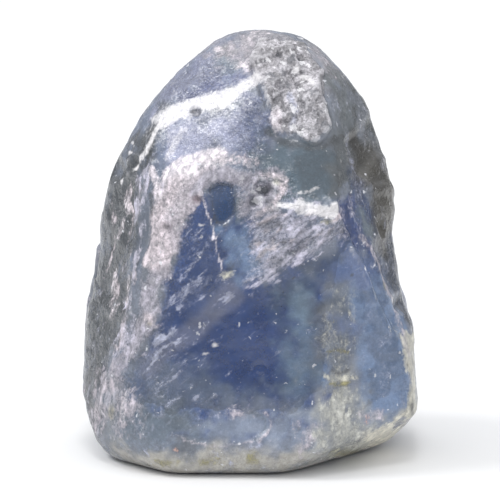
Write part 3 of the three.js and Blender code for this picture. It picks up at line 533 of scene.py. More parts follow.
PAINT["front", "grit"] = {
    "gritty crust": (1.0, 0.3, "outline", [
        (2.1, 17.3), (2.9, 15.8), (3.1, 13.7), (2.8, 13), (1.8, 13.1), (0.8, 13.5), (0.5, 14.9),
        (-0.2, 16.2), (0, 17.2)]),
    "gritty lumps": (0.6, 0.8, "outline", [
        (0, 10.4), (1.5, 10.7), (3.5, 10.4), (3.8, 9.4), (2.4, 8.9), (0.6, 7.2), (-0.1, 8.2)]),
    "gritty craters": (0.8, 0.5, "outline", [
        (-2, 11.6), (-0.4, 12.1), (1.8, 11.9), (1.6, 10.6), (-0.4, 10.3), (-0.5, 11.4), (-1.5, 11.7)]),
    "gritty left margin": (0.45, 0.8, "outline", [
        (-3.6, 14.6), (-5.2, 12.6), (-6.6, 8), (-7, 3), (-6, 1), (-5, 1.6), (-4.8, 4.6), (-4.2, 7),
        (-4, 13)]),
    "gritty curtain": (0.62, 0.6, "outline", [
        (-4, 11.8), (-2, 12.6), (0, 12.5), (-0.2, 11.6), (-1.7, 11.4), (-2.6, 9.7), (-3.4, 6.6), (-4.8, 4.4),
        (-5.2, 2), (-6.2, 2), (-5, 5), (-4.2, 8)]),
    "gritty cap": (0.6, 0.8, "outline", [
        (-3.7, 14), (-3, 15.4), (-1.6, 17), (0.4, 17.4), (0.8, 15.2), (-3, 13.6)]),
    "gritty right margin": (0.35, 0.8, "outline", [
        (3.8, 15.4), (5.6, 12.8), (6.4, 8), (6, 6.4), (4, 10.4), (4.2, 13)]),
    "gritty dusk": (0.6, 0.8, "outline", [
        (-0.9, 14.4), (0.5, 14.8), (1, 13.4), (0.6, 12.6), (-0.6, 12.9)]),
    "soft white band": (0.2, 0.5, "path", [(-3.2, 11.8), (-2, 12.2), (-0.6, 12.3)]),
    "smooth window": (0.08, 1.0, "outline", [
        (-2.6, 6.4), (1.6, 7.6), (2.8, 6), (2.6, 3), (-0.6, 2.8), (-2.6, 3.4)]),
    "smooth under the ledge": (0.05, 0.8, "outline", [
        (1.4, 7.6), (3, 8.8), (4.2, 9), (4.4, 6.8), (3, 6.2), (1.4, 6.4)]),
    "smooth right front": (0.15, 0.8, "outline", [
        (4.3, 7), (5.4, 7.4), (6.1, 4.8), (6, 2.4), (4.6, 2), (4.2, 3.6)]),
    "smooth shoulder": (0.15, 0.8, "outline", [
        (0.8, 12.8), (3.2, 12.7), (3.6, 11.2), (2.2, 11), (1.9, 12)]),
    "smooth bottom": (0.12, 1.0, "outline", [(-3.6, 2.3), (2.4, 2.3), (2.6, 1), (-3.6, 1)]),
}
PAINT["back", "grit"] = {
    "gritty back crust": (1.0, 0.4, "outline", BACK_CRUST),
    "smooth back": (0.1, 1.0, "outline", [
        (-4, 2.4), (-4, 5.6), (-2.6, 7.4), (-0.4, 7.2), (0.8, 5.2), (0.2, 2.6), (-1.6, 1.8)]),
}
# Painted highlights: white laid where the softboxes' reflections fall on the ridge between cap and shoulder
# and on the ledge, and small glints. The same layer also makes these places glossier.
PAINT["front", "shine"] = {
    "soft highlight round the ridge": (0.3, 0.8, "path", [(-3.4, 13.8), (-2.4, 14.1), (-1.4, 14.3), (-0.8, 14.7)]),
    # Painted highlight along the ridge between cap and shoulder.
    "highlighted worn ridge": (0.8, 0.36, "path", [
        (-3.45, 13.95), (-3, 14.25), (-2.4, 14.35), (-1.8, 14.45), (-1.3, 14.65), (-0.8, 14.9)]),
    "highlight at the ridge end": (0.75, 0.22, "path", [(-0.8, 14.9), (-0.3, 15.15), (0.2, 15.4)]),
    "highlight line on the left edge": (0.75, 0.09, "path", [(-3.6, 13.9), (-4.1, 12.9), (-4.65, 12)]),
    "second highlight line": (0.5, 0.16, "path", [(-2.7, 13.6), (-3, 13.1), (-3.3, 12.4)]),
    # Painted highlight along the ledge, brightest at its right end, with a glow round it.
    "ledge": (0.9, 0.11, "path", [(1.1, 10.6), (2, 10.5), (2.7, 10.35), (3.1, 10.25), (3.25, 10.65)]),
    "bright end of the ledge": (1.3, 0.2, "path", [(2.6, 10.36), (3.12, 10.25), (3.22, 10.5)]),
    "ledge glow": (0.8, 0.25, "path", [(1.9, 10.5), (2.7, 10.35), (3.1, 10.27)]),
    "short highlight dash": (0.6, 0.07, "path", [(1.9, 11.05), (2.3, 11.1), (2.6, 11.25)]),
    "highlight on the crust edge": (0.7, 0.1, "path", [(2, 15.6), (2.3, 15.5), (2.5, 15.2)]),
    # Painted glints.
    "painted glints": (0.8, 1.0, "ovals", [
        (-1.8, 4.75, 0.12, 0.07), (-1.4, 5.1, 0.16, 0.08), (-1.95, 9.35, 0.07, 0.07),
        (-1.95, 9.8, 0.14, 0.06), (5.8, 6.85, 0.12, 0.12), (1.75, 15.8, 0.14, 0.12),
        (-4.8, 12.7, 0.12, 0.08), (-4.7, 13.1, 0.08, 0.08), (-5.1, 11.55, 0.08, 0.12)]),
}
PAINT["front", "all"] = {
    "dark shell line": ("foot grey", 0.6, 0.07, "path", [(0, 2.5), (0.55, 2.2), (0.6, 1.8), (0.15, 1.35)]),
    "dark slits": ("dirt", 0.65, 0.07, "paths", [
        [(3.2, 4.1), (3.5, 3.95), (3.8, 4.1)], [(6.45, 2.3), (6.42, 2.75)], [(-3.95, 11), (-3.9, 10.2)]]),
    "black dots": ("dirt", 0.8, 1.0, "ovals", [(1.7, 7.75, 0.06, 0.06), (3.95, 7.85, 0.06, 0.06)]),
    "crust pits": ("dirt", 0.6, 1.2, "ovals", [
        (1.05, 14.75, 0.18, 0.14), (2.5, 14, 0.14, 0.14), (1.9, 15.2, 0.1, 0.14)]),
    "rust at the apex": ("rust", 0.75, 1.0, "ovals", [(-2.05, 10.75, 0.2, 0.15)]),
    # Painted shade in the floors of the two craters.
    "painted shade in the crater floors": ("deep smoke", 0.72, 1.2, "ovals", [
        (0.5, 11.15, 0.36, 0.22), (0.1, 10.68, 0.24, 0.15)]),
    # Painted shade in the folds between the lumps under the ledge.
    "painted shade in the folds under the ledge": ("deep smoke", 0.55, 0.8, "sparse lumps", [
        (0.2, 10.3), (3.4, 10.1), (3.8, 9.2), (2.4, 8.8), (1.2, 7.9), (0.2, 8.3), (-0.2, 9.2)]),
    # Painted shade in the pit on the ridge: grey in place of the painted highlight, ringed darker.
    "ridge pit": ("grey", 0.85, 0.8, "ovals", [(-2.2, 14.3, 0.17, 0.1)]),
    "painted shade round the ridge pit": ("dirt", 0.55, 0.05, "path", [
        (-2.42, 14.28), (-2.3, 14.16), (-2.08, 14.18), (-1.98, 14.34), (-2.12, 14.44), (-2.32, 14.4),
        (-2.42, 14.28)]),
    # Painted shade in the pit on the curtain.
    "painted shade in the curtain pit": ("dirt", 0.35, 1.2, "ovals", [(-3.5, 9.7, 0.24, 0.14)]),
}
PAINT["back", "all"] = {
    "back crack dirt": ("dirt", 0.3, 0.08, "path", BACK_CRACK),
}

# The first coat, under the strokes. Clouds: middle, contrast, size, layers, shift
CLOUDS = {
    "smoky": (0.5, 1.2, 3.4, 3, 41.0),
    "milky": (0.3, 1.4, 2.2, 3, 47.0),
    "blue": (0.5, 1.5, 2.6, 2, 51.0),
    "frosted": (0, 1.3, 2.6, 4, 53.0),
    "clear": (0.2, 1.6, 3.6, 2, 59.0),
}
MILKINESS = 0.6              # how white the milky clouds are
THINNEST_SKIN = 0.01
FIRST_GRIT = (0.3, 0.4)      # middle and contrast of the grit
FLECKS = (0.1, 0.35)         # the same for flecks of skin on rough glass
BARE_GLASS = 0.15            # how much skin the smooth glass loses

# The material's grains: size in millimetres, detail, roughness, stretch, turn in degrees.
# Real frost and dust are finer than this: they are drawn as coarse as they need to be to show.
GRAINS = {
    "mottle": (0.7, 4, 0.6, (1, 1, 1), 0),
    "sugar": (0.15, 3, 0.65, (1, 1, 1), 0),
    "dust": (0.07, 2, 0.7, (1, 1, 1), 0),
    "fibres": (0.16, 3, 0.65, (1, 1, 5), 0),
    "scratches": (0.12, 3, 0.65, (7, 1, 1), 36),
    "upright_folds": (0.5, 4, 0.62, (1, 1, 1.5), 0),
    "slanting_folds": (0.4, 4, 0.62, (2.6, 1, 1), 34),
}
WOBBLE = 0.25                # size of the wobble that makes specks and grains ragged
WOBBLE_REACH = 0.6           # how far it moves them
MOSAIC = 0.3                 # size of the lighter and darker crystals in the crust
FACETS = 0.26                # size of the grains in the bump
BUMP = 0.06                  # height of the bump

# Specks: colour, size of a cell, share of cells without one, reach, strength, where
SPECKS = [
    ("pale speck", 0.5, 0.5, 0.2, 0.8, "all over"),
    ("pale speck", 0.28, 0.55, 0.2, 0.6, "all over"),
    # Painted glints: bright spots where the stone is gritty.
    ("bright speck", 0.34, 0.5, 0.6, 0.75, "gritty"),
    ("dark speck", 0.42, 0.55, 0.6, 0.6, "gritty"),
]
SPECK_EDGE = 0.08

# Corundum's own values, and how rough its glass, its frost and its worn ridges are
CORUNDUM_IOR = 1.77
GLASS_ROUGHNESS = 0.2
FROST_ROUGHNESS = 0.36
POLISH_ROUGHNESS = 0.25
CLEARNESS = 0.3              # how much light the clearest glass lets through
ABSORPTION = 200.0           # density of the blue inside, for each metre
SMOOTH = {"interpolation_type": "SMOOTHSTEP"}    # for ranges that ease in and out

# The stage
FLOOR_SIZE = 4.0
VIEW_LEAN = math.radians(12)
AIM_HEIGHT = 8.08 * MM
VIEW_WIDTH = 20 * MM         # the photograph's 500 pixels at 0.04 mm each
LENS = 300.0
SENSOR = 36.0
CLIP_START = 0.01
PAPER_ROUGHNESS = 0.9
DAYLIGHT = (0.97, 0.98, 1)   # linear red, green and blue of the room

# Softboxes: direction from the stone, distance, size, power
SOFTBOXES = {
    "ridge_light": ((-0.61, -0.08, 0.785), 0.3, 0.08, 0.26),
    "ledge_light": ((0, -0.375, 0.927), 0.3, 0.08, 0.14),
}


# Number helpers
def linear(name):
    """One of the named colours, from sRGB hex to three linear numbers."""
    parts = np.array([int(COLOURS[name][i:i + 2], 16) / 255 for i in (1, 3, 5)])
    return np.where(parts <= 0.04045, parts / 12.92, ((parts + 0.055) / 1.055) ** 2.4)


def socket_colour(name):
    """The same colour as the four numbers that a socket takes."""
    return (*linear(name), 1)


def mixed(first, second, share):
    """A colour brought towards a second one by each point's own share."""
    return first + share[:, None] * (second - first)


def ease(value):
    """Goes smoothly from 0 to 1 as the value does, and stays there."""
    x = np.clip(value, 0, 1)
    return x * x * (3 - 2 * x)


def lattice(i, j, k):
    """A random number between 0 and 1, always the same for the same cell."""
    value = np.sin(i * HASH[0] + j * HASH[1] + k * HASH[2]) * HASH_GAIN
    return value - np.floor(value)


def noise(points, cell, shift=0.0):
    """Smooth noise between -1 and 1, with one swell for each cell of the given size."""
    scaled = points / cell + shift
    corner = np.floor(scaled)
    part = ease(scaled - corner)
    total = np.zeros(len(points))
    for step in np.ndindex(2, 2, 2):
        share = np.prod(np.where(step, part, 1 - part), axis=1)
        total += share * lattice(*(corner + step).T)
    return 2 * total - 1


def layered_noise(points, cell, layers, shift):
    """Noise with finer noise on it, each layer half as large and half as strong as the last."""
    total = np.zeros(len(points))
    for layer in range(layers):
        total += noise(points, cell / 2 ** layer, shift + LAYER_SHIFT * layer) / 2 ** layer
    return total / (2 - 2 ** (1 - layers))


def folded(points, cell, shift):
    """Crinkles: noise folded over at its middle, which leaves sharp creases."""
    creases = np.abs(noise(points, cell, shift)) + 0.5 * np.abs(noise(points, cell / 2, shift + 4))
    return 0.5 - creases


def scattered_grains(points, cell, shift):
    """The nearest scattered grain: its distance and direction in cells, and the cell it lies in."""
    scaled = points / cell + shift
    home = np.floor(scaled)
    nearest = np.full(len(points), np.inf)
    away = np.zeros_like(points)
    grain = np.zeros_like(points)
    for step in np.ndindex(3, 3, 3):
        near = home + step - 1
        i, j, k = near.T
        centre = near + np.stack([lattice(i, j, k), lattice(j + 7, k, i), lattice(k, i + 13, j)], axis=1)
        distance = np.linalg.norm(scaled - centre, axis=1)
        closer = distance < nearest
        nearest[closer] = distance[closer]
        away[closer] = (scaled - centre)[closer]
        grain[closer] = near[closer]
    return nearest, away, grain.T


def numbered_grains(points, cell, shift):
    """Distance to the nearest grain, and that grain's own random number."""
    distance, away, (i, j, k) = scattered_grains(points, cell, shift)
    return distance * cell, lattice(i + 31, j + 17, k)


def broken_grains(points, cell, shift):
    """Broken sugary grains: each has a flat top with a height and a tilt of its own."""
    distance, away, (i, j, k) = scattered_grains(points, cell, shift)
    tilt = np.stack([lattice(i + 3, k, j), lattice(j, i + 5, k), lattice(k + 9, j, i)], axis=1) - 0.5
    top = lattice(i + 31, j + 17, k) - 0.5 + GRAIN_TILT * np.sum(away * tilt, axis=1)
    return top * cell


# The worn crystal: every face is a plane, and where two planes meet the ridge is worn round
def face_normal(turn, lean):
    """The way that a face looks, from its turn and its lean in degrees."""
    turn = math.radians(turn)
    lean = math.radians(lean)
    return np.array([math.cos(lean) * math.sin(turn), -math.cos(lean) * math.cos(turn), math.sin(lean)])


def worn_max(a, b, wear):
    """The larger of two numbers, with the step from one to the other rounded."""
    overlap = np.maximum(wear - np.abs(a - b), 0) / wear
    return np.maximum(a, b) + overlap * overlap * wear / 4


def crystal(points):
    """Below zero inside the stone, above zero outside it. The base is the plane z = 0."""
    outside = -points[:, 2]
    for turn, lean, at, wear in FACES.values():
        normal = face_normal(turn, lean)
        outside = worn_max(outside, points @ normal - normal @ np.array(at), wear)
    return outside


def crystal_slope(points):
    """How fast the distance from the crystal grows along x, y and z."""
    slope = np.empty_like(points)
    for axis in range(3):
        step = np.zeros(3)
        step[axis] = PROBE
        slope[:, axis] = (crystal(points + step) - crystal(points - step)) / (2 * PROBE)
    return slope


# The marks
def drawing_place(points, normals, side):
    """Where each point falls on a side's drawing plane, and how squarely it faces that way."""
    turn = math.radians(SIDES[side])
    outward = np.array([math.sin(turn), -math.cos(turn), 0])
    across = np.array([math.cos(turn), math.sin(turn), 0])
    rise = math.cos(DRAWING_LEAN)
    back = math.sin(DRAWING_LEAN)
    s = points @ across
    t = points[:, 2] * rise - points @ outward * back + DRAWING_RISE
    look = normals @ outward * rise + normals[:, 2] * back
    return s, t, look


def distance_to_path(path, s, t):
    nearest = np.full(len(s), np.inf)
    for (s0, t0), (s1, t1) in zip(path, path[1:]):
        ds = s1 - s0
        dt = t1 - t0
        part = np.clip(((s - s0) * ds + (t - t0) * dt) / (ds * ds + dt * dt), 0, 1)
        nearest = np.minimum(nearest, np.hypot(s - s0 - part * ds, t - t0 - part * dt))
    return nearest


def depth_inside(outline, s, t):
    """Distance to an outline, above zero inside it."""
    closed = outline + outline[:1]
    inside = np.zeros(len(s), bool)
    for (s0, t0), (s1, t1) in zip(closed, closed[1:]):
        if t0 != t1:
            crosses = (t0 > t) != (t1 > t)
            inside ^= crosses & (s < (s1 - s0) * (t - t0) / (t1 - t0) + s0)
    distance = distance_to_path(closed, s, t)
    return np.where(inside, distance, -distance)


class Marks:
    """The points of the worn crystal with their places on every drawing plane."""

    def __init__(self, points, normals):
        self.points = points
        self.drifts = [
            [layered_noise(points, *DRIFT, shift + DRIFT_STEP * turn) for shift in DRIFT_SHIFTS]
            for turn in range(DRIFTS)]
        self.fray = layered_noise(points, *FRAYING)
        self.patches = layered_noise(points, *PATCHES)
        self.places = {}
        self.relief_facing = {}
        self.paint_facing = {}
        for side in SIDES:
            s, t, look = drawing_place(points, normals, side)
            self.places[side] = (s, t)
            start, span = RELIEF_FADE
            self.relief_facing[side] = ease((look - start) / span)
            start, span = PAINT_FADE
            self.paint_facing[side] = ease((look - start + PAINT_FADE_SWAY * self.drifts[0][0]) / span)

    def at(self, side, sway, turn=0):
        """The places, swayed to and fro so that nothing drawn there keeps a straight edge."""
        s, t = self.places[side]
        across, up = self.drifts[turn % DRIFTS]
        return s + sway * across, t + sway * up

    def area(self, side, edge, outline):
        return ease(depth_inside(outline, *self.at(side, RELIEF_SWAY)) / edge + 0.5)

    def line(self, side, width, path):
        return ease(1 - distance_to_path(path, *self.at(side, RELIEF_SWAY)) / width)

    def oval(self, side, middle, half_sizes, sway=RELIEF_SWAY, turn=0):
        """Distance from an oval's middle, 1 on the oval itself."""
        s, t = self.at(side, sway, turn)
        return np.hypot((s - middle[0]) / half_sizes[0], (t - middle[1]) / half_sizes[1])

    def streaked(self, side, cell, stretch, slant, shift):
        """Noise drawn out along a slant, between about -1 and 1."""
        s, t = self.at(side, STREAK_SWAY)
        rise = math.radians(slant)
        lengthwise = (s * math.cos(rise) + t * math.sin(rise)) / stretch
        across = t * math.cos(rise) - s * math.sin(rise)
        return layered_noise(np.stack([lengthwise, across, 0 * s], axis=1), cell, STREAK_LAYERS, shift)


def small_forms(marks, side, texture):
    """The small forms on an area: sugary grains, slanting lumps or crinkles."""
    height = 0
    for rise, cell, shift in AREA_GRAINS.get(texture, []):
        height = height + rise * broken_grains(marks.points, cell, shift)
    if texture == "lumpy":
        rise, *lumps = LUMPS
        height = height + rise * marks.streaked(side, *lumps)
    if texture == "crinkled":
        rise, cell, shift = CRINKLES
        height = rise * folded(marks.points * CRINKLE_SQUEEZE, cell, shift)
    return height


def relief(marks):
    """Everything that stands above or below the worn crystal faces, in millimetres."""
    points = marks.points
    height = np.zeros(len(points))
    for size, rise in WAVES:
        height += rise * noise(points, size)
    for side, rise, edge, texture, outline in AREAS.values():
        cover = marks.relief_facing[side] * marks.area(side, edge, outline)
        height += cover * (rise + small_forms(marks, side, texture))
    for side, rise, width, path in LINES.values():
        height += rise * marks.relief_facing[side] * marks.line(side, width, path)
    for side, s, t, radius, depth in PITS:
        distance = marks.oval(side, (s, t), (radius, radius))
        rim = RIM_HEIGHT * ease(1 - np.abs(distance - RIM_RADIUS) / RIM_WIDTH)
        height += marks.relief_facing[side] * depth * (rim - ease(PIT_EDGE - distance))
    s, t, half_width, half_height, depth = SHELL
    distance = marks.oval("front", (s, t), (half_width, half_height))
    height -= marks.relief_facing["front"] * depth * ease(1 - distance)
    return height * ease(points[:, 2] / FOOT_HEIGHT)


def fine_relief(marks, amounts):
    """Frost grain, percussion rings and the small pits of a stone that rolled in a river."""
    points = marks.points
    skin = amounts["skin"]
    rough = np.clip(1 - GLASS_SMOOTHNESS * amounts["clear"] * (1 - skin), 0, 1)
    rise, *swells = SWELLS
    height = rise * rough * layered_noise(points, *swells)
    rise, *creases = CREASES
    height += skin * rise * folded(points, *creases)
    rise, *grains = GRIT_GRAINS
    height += amounts["grit"] * rise * broken_grains(points, *grains)
    depth, spacing, shift, left_out, smallest, spread = SMALL_PITS
    distance, number = numbered_grains(points, spacing, shift)
    height -= depth * rough * (number > left_out) * ease(PIT_EDGE - distance / (smallest + spread * number))
    depth, spacing, shift, left_out, smallest, spread = RINGS
    distance, number = numbered_grains(points, spacing, shift)
    ring = ease(1 - np.abs(distance - smallest - spread * number) / RING_WIDTH)
    height -= depth * (number > left_out) * ring
    return height * ease(points[:, 2] / FOOT_HEIGHT)


# The paint
def brushed(marks, side, width, kind, shape, turn):
    """How strongly one stroke covers each point, from 0 to 1."""
    if kind == "ovals":
        cover = 0
        for s, t, half_width, half_height in shape:
            half_sizes = (half_width, half_height)
            distance = marks.oval(side, (s, t), half_sizes, min(half_sizes), turn)
            cover = np.maximum(cover, ease((REACH - distance) / width))
    elif kind in ("path", "paths"):
        s, t = marks.at(side, min(STROKE_SWAY, width), turn)
        paths = shape if kind == "paths" else [shape]
        cover = ease(REACH - np.min([distance_to_path(path, s, t) for path in paths], axis=0) / width)
    else:
        s, t = marks.at(side, min(STROKE_SWAY, SWAY_OVER_WIDTH * width), turn)
        cover = ease(depth_inside(shape, s, t) / width + 0.5 + FRAY * marks.fray)
        if kind in STREAKS:
            slant, stretch, fill = STREAKS[kind]
            streaks = marks.streaked(side, STREAK_CELL, stretch, slant, turn)
            cover *= ease(fill + STREAK_CONTRAST * streaks)
    if side != "front":
        cover = cover * (1 - marks.paint_facing["front"])
    return cover * marks.paint_facing[side]


def clouds(points, name):
    middle, contrast, *pattern = CLOUDS[name]
    return ease(middle + contrast * layered_noise(points, *pattern))


def first_coat(marks):
    """The stone before the strokes: clouds of colour, and frost and clear glass behind the front."""
    points = marks.points
    body = mixed(linear("slate"), linear("smoke"), clouds(points, "smoky"))
    body = mixed(body, linear("milk"), MILKINESS * clouds(points, "milky"))
    skin = mixed(linear("grey frost"), linear("blue frost"), clouds(points, "blue"))
    behind = 1 - marks.paint_facing["front"]
    middle, contrast = FIRST_GRIT
    amounts = {
        "skin": THINNEST_SKIN + behind * clouds(points, "frosted"),
        "clear": behind * clouds(points, "clear"),
        "shine": np.zeros(len(points)),
        "grit": np.clip(middle + contrast * marks.patches, 0, 1),
    }
    return {"body": body, "skin": skin}, amounts


def lay(colours, amounts, layer, strength, cover, colour=None):
    """Lays one stroke. A stroke on the skin shows where it is the thickest one there."""
    laid = strength * cover
    if layer in ("skin", "shine", "clear"):
        amounts[layer] = np.maximum(amounts[layer], laid)
    if layer == "grit":
        amounts["grit"] = amounts["grit"] + cover * (strength - amounts["grit"])
    if layer == "all":
        amounts["shine"] = amounts["shine"] * (1 - laid)
    for name in colours:
        if layer in (name, "all"):
            share = (laid / amounts["skin"]) ** 2 if layer == "skin" else laid
            colours[name] = mixed(colours[name], linear(colour), share)


def paint(marks):
    """The body and skin colours, and how much of each other layer every point has."""
    colours, amounts = first_coat(marks)
    strokes = [(*place, stroke) for place, named in PAINT.items() for stroke in named.values()]
    for turn, (side, layer, (*colour, strength, width, kind, shape)) in enumerate(strokes):
        cover = brushed(marks, side, width, kind, shape, turn)
        lay(colours, amounts, layer, strength, cover, *colour)
    middle, contrast = FLECKS
    flecks = np.clip(middle + contrast * marks.patches, 0, 1) * ease(2 * amounts["grit"])
    bare = BARE_GLASS * ease(1 - 4 * amounts["grit"])
    amounts["skin"] = np.maximum(amounts["skin"], flecks) - bare
    return colours, amounts


# Building the stone
def deselect_all():
    bpy.ops.object.select_all(action="DESELECT")


def cut_crystal():
    """A block cut back by one plane for each face of the crystal, then meshed evenly."""
    deselect_all()
    bpy.ops.mesh.primitive_cube_add(size=1, location=(0, 0, BLOCK[2] / 2), scale=BLOCK)
    stone = bpy.context.object
    stone.name = "rough_sapphire"
    bpy.ops.object.transform_apply(location=True, rotation=False, scale=True)
    bpy.ops.object.mode_set(mode="EDIT")
    for turn, lean, at, wear in FACES.values():
        bpy.ops.mesh.select_all(action="SELECT")
        bpy.ops.mesh.bisect(plane_co=at, plane_no=face_normal(turn, lean), use_fill=True, clear_outer=True)
    bpy.ops.object.mode_set(mode="OBJECT")
    remesh = stone.modifiers.new("even quads", "REMESH")
    remesh.mode = "VOXEL"
    remesh.voxel_size = GRID
    bpy.ops.object.modifier_apply(modifier=remesh.name)
    return stone


def read_points(mesh):
    flat = np.empty(len(mesh.vertices) * 3)
    mesh.vertices.foreach_get("co", flat)
    return flat.reshape(-1, 3)


def write_points(mesh, points):
    mesh.vertices.foreach_set("co", points.ravel())
    mesh.update()


def wear_round(mesh):
    """The cut block's points moved onto the crystal with its ridges worn round, and the normals there."""
    points = read_points(mesh)
    for step in range(SETTLE_STEPS):
        slope = crystal_slope(points)
        steepness = np.sum(slope * slope, axis=1, keepdims=True)
        points -= crystal(points)[:, None] * slope / steepness
    slope = crystal_slope(points)
    return points, slope / np.linalg.norm(slope, axis=1, keepdims=True)


def store(mesh, name, values):
    """Keeps one number or one colour for each point of the mesh."""
    kind, slot = ("FLOAT", "value") if values.ndim == 1 else ("FLOAT_VECTOR", "vector")
    layer = mesh.attributes.new(name, kind, "POINT")
    layer.data.foreach_set(slot, values.astype(np.float32).ravel())


def crests(mesh, heights):
    """How far each point stands above its surroundings: worn crests above zero, hollows below."""
    edges = np.empty(len(mesh.edges) * 2, int)
    mesh.edges.foreach_get("vertices", edges)
    a, b = edges.reshape(-1, 2).T
    links = np.bincount(a, minlength=len(heights)) + np.bincount(b, minlength=len(heights))
    smooth = heights.copy()
    for step in range(CREST_STEPS):
        around = np.bincount(a, smooth[b], len(heights)) + np.bincount(b, smooth[a], len(heights))
        smooth = 0.5 * smooth + 0.5 * around / links
    return heights - smooth


def fit_to_frame(points):
    """Centres the stone on its base and keeps it inside the frame's box."""
    low, high = (np.array(corner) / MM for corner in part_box("sapphire"))
    size = points.max(axis=0) - points.min(axis=0)
    points[:, :2] -= (points[:, :2].max(axis=0) + points[:, :2].min(axis=0)) / 2
    return points * np.minimum(1, (high - low) / size)


def build_stone():
    stone = cut_crystal()
    mesh = stone.data
    points, normals = wear_round(mesh)
    marks = Marks(points, normals)
    colours, amounts = paint(marks)
    shaped = points + normals * (relief(marks) + fine_relief(marks, amounts))[:, None]
    shaped[shaped[:, 2] < BASE_SNAP, 2] = 0
    store(mesh, "body", colours["body"])
    store(mesh, "skin", colours["skin"])
    store(mesh, "cover", amounts["skin"])
    for name in ("clear", "shine", "grit"):
        store(mesh, name, amounts[name])
    store(mesh, "crest", crests(mesh, np.sum((shaped - points) * normals, axis=1)))
    write_points(mesh, fit_to_frame(shaped) * MM)
    bpy.ops.object.shade_smooth()
    return stone


# Materials. A Map Range node takes its value, the range that it comes from and the range that it
# goes to. A Mix node takes its share at socket 0, numbers at 2 and 3, and colours at 6 and 7.
def per_mm(size):
    """The texture scale that gives one cell for each size in millimetres."""
    return 1 / (size * MM)


def add(tree, kind, sockets=(), output=0, **settings):
    """Adds one node with its settings and hands back one of its outputs.

    sockets holds its first sockets in order, or some of them by name or number. Each is a value,
    or another node's output to follow.
    """
    made = tree.nodes.new("ShaderNode" + kind)
    for name, value in settings.items():
        setattr(made, name, value)
    if not isinstance(sockets, dict):
        sockets = dict(enumerate(sockets))
    for socket, value in sockets.items():
        if isinstance(value, bpy.types.NodeSocket):
            tree.links.new(value, made.inputs[socket])
        else:
            made.inputs[socket].default_value = value
    return made.outputs[output] if made.outputs else None


def swing(node, value, amount):
    """A brightness that swings about 1 with a grain, further where the amount is larger."""
    centred = node("Math", [value, 0.5], operation="SUBTRACT")
    return node("Math", [centred, amount, 1.0], operation="MULTIPLY_ADD")


def eaten(node, value, grain, reach, low, high):
    """A painted layer whose edge is eaten into by a grain, from nothing at low to all of it at high."""
    lowest = node("Math", [value, 0.5 * reach], operation="SUBTRACT")
    moved = node("Math", [grain, reach, lowest], operation="MULTIPLY_ADD")
    return node("MapRange", [moved, low, high], **SMOOTH)


def shaded(node, colour, *brightnesses):
    """A colour made lighter and darker by each of the brightnesses in turn."""
    for brightness in brightnesses:
        colour = node("VectorMath", {0: colour, "Scale": brightness}, operation="SCALE")
    return colour


def coated(node, colour, share, coat):
    """A colour with a coat over it: a share, and a named colour or another node's output."""
    coat = socket_colour(coat) if isinstance(coat, str) else coat
    return node("Mix", {0: share, 6: colour, 7: coat}, 2, data_type="RGBA")


def stone_patterns(node):
    """The painted layers and the grains that every part of the stone's material uses."""
    on = SimpleNamespace()
    for name in ("clear", "cover", "shine", "grit", "crest"):
        setattr(on, name, node("Attribute", output="Fac", attribute_name=name))
    place = node("TexCoord", output="Object")
    for name, (size, detail, roughness, stretch, turn) in GRAINS.items():
        turned = (0, -math.radians(turn), 0)
        along = node("Mapping", {0: place, "Rotation": turned, "Scale": stretch}, vector_type="TEXTURE")
        setattr(on, name, node("TexNoise", {
            "Vector": along, "Scale": per_mm(size), "Detail": detail, "Roughness": roughness}))
    wobble = node("TexNoise", {"Vector": place, "Scale": per_mm(WOBBLE), "Detail": 3.0}, "Color")
    ragged = node("VectorMath", [wobble, (0.5, 0.5, 0.5)], operation="SUBTRACT")
    ragged = node("VectorMath", {0: ragged, "Scale": WOBBLE_REACH * MM}, operation="SCALE")
    on.ragged = node("VectorMath", [ragged, place], operation="ADD")
    folds = node("Mix", {0: on.clear, 2: on.upright_folds, 3: on.slanting_folds})
    folds = node("Math", [folds, 0.5], operation="SUBTRACT")
    folds = node("Math", [folds], operation="ABSOLUTE")
    on.crinkles = node("Math", [folds, 4.5, 0.25], operation="MULTIPLY_ADD")
    coarseness = node("Math", [on.grit, 1.65, 0.25], operation="MULTIPLY_ADD")
    on.grainy = [swing(node, grain, coarseness) for grain in (on.sugar, on.dust)]
    on.clear_glass = eaten(node, on.clear, on.mottle, reach=0.3, low=0.4, high=0.6)
    return on


def glassy_body(node, on):
    """The glass itself, cloudy inside, with fine pale scratches."""
    cloudy = node("MapRange", [on.mottle, 0.3, 0.7, 0.84, 1.18], **SMOOTH)
    body = shaded(node, node("Attribute", attribute_name="body"), cloudy, *on.grainy)
    fine = node("MapRange", [on.scratches, 0.6, 0.72], **SMOOTH)
    strength = node("MapRange", [on.mottle, 0.45, 0.6, 0.0, 0.25], **SMOOTH)
    scratched = node("Math", [fine, strength], operation="MULTIPLY")
    return coated(node, body, scratched, "scratch")


def frosted_skin(node, on):
    """Frost, crust and cream: lighter and darker crystals where it is gritty, and crinkles, whose creases
    are painted darker as shade and whose folds lighter as highlight.
    """
    mosaic = node("TexVoronoi", {"Vector": on.ragged, "Scale": per_mm(MOSAIC)}, "Color")
    shade = node("SeparateXYZ", [mosaic], "Y")
    contrast = node("Math", [on.grit, 3.0], operation="POWER")
    contrast = node("Math", [contrast, 0.9], operation="MULTIPLY")
    return shaded(node, node("Attribute", attribute_name="skin"), *on.grainy,
                  # The last brightness paints shade into the creases of the crinkles and highlight on their
                  # folds.
                  swing(node, shade, contrast), swing(node, on.crinkles, 0.9))


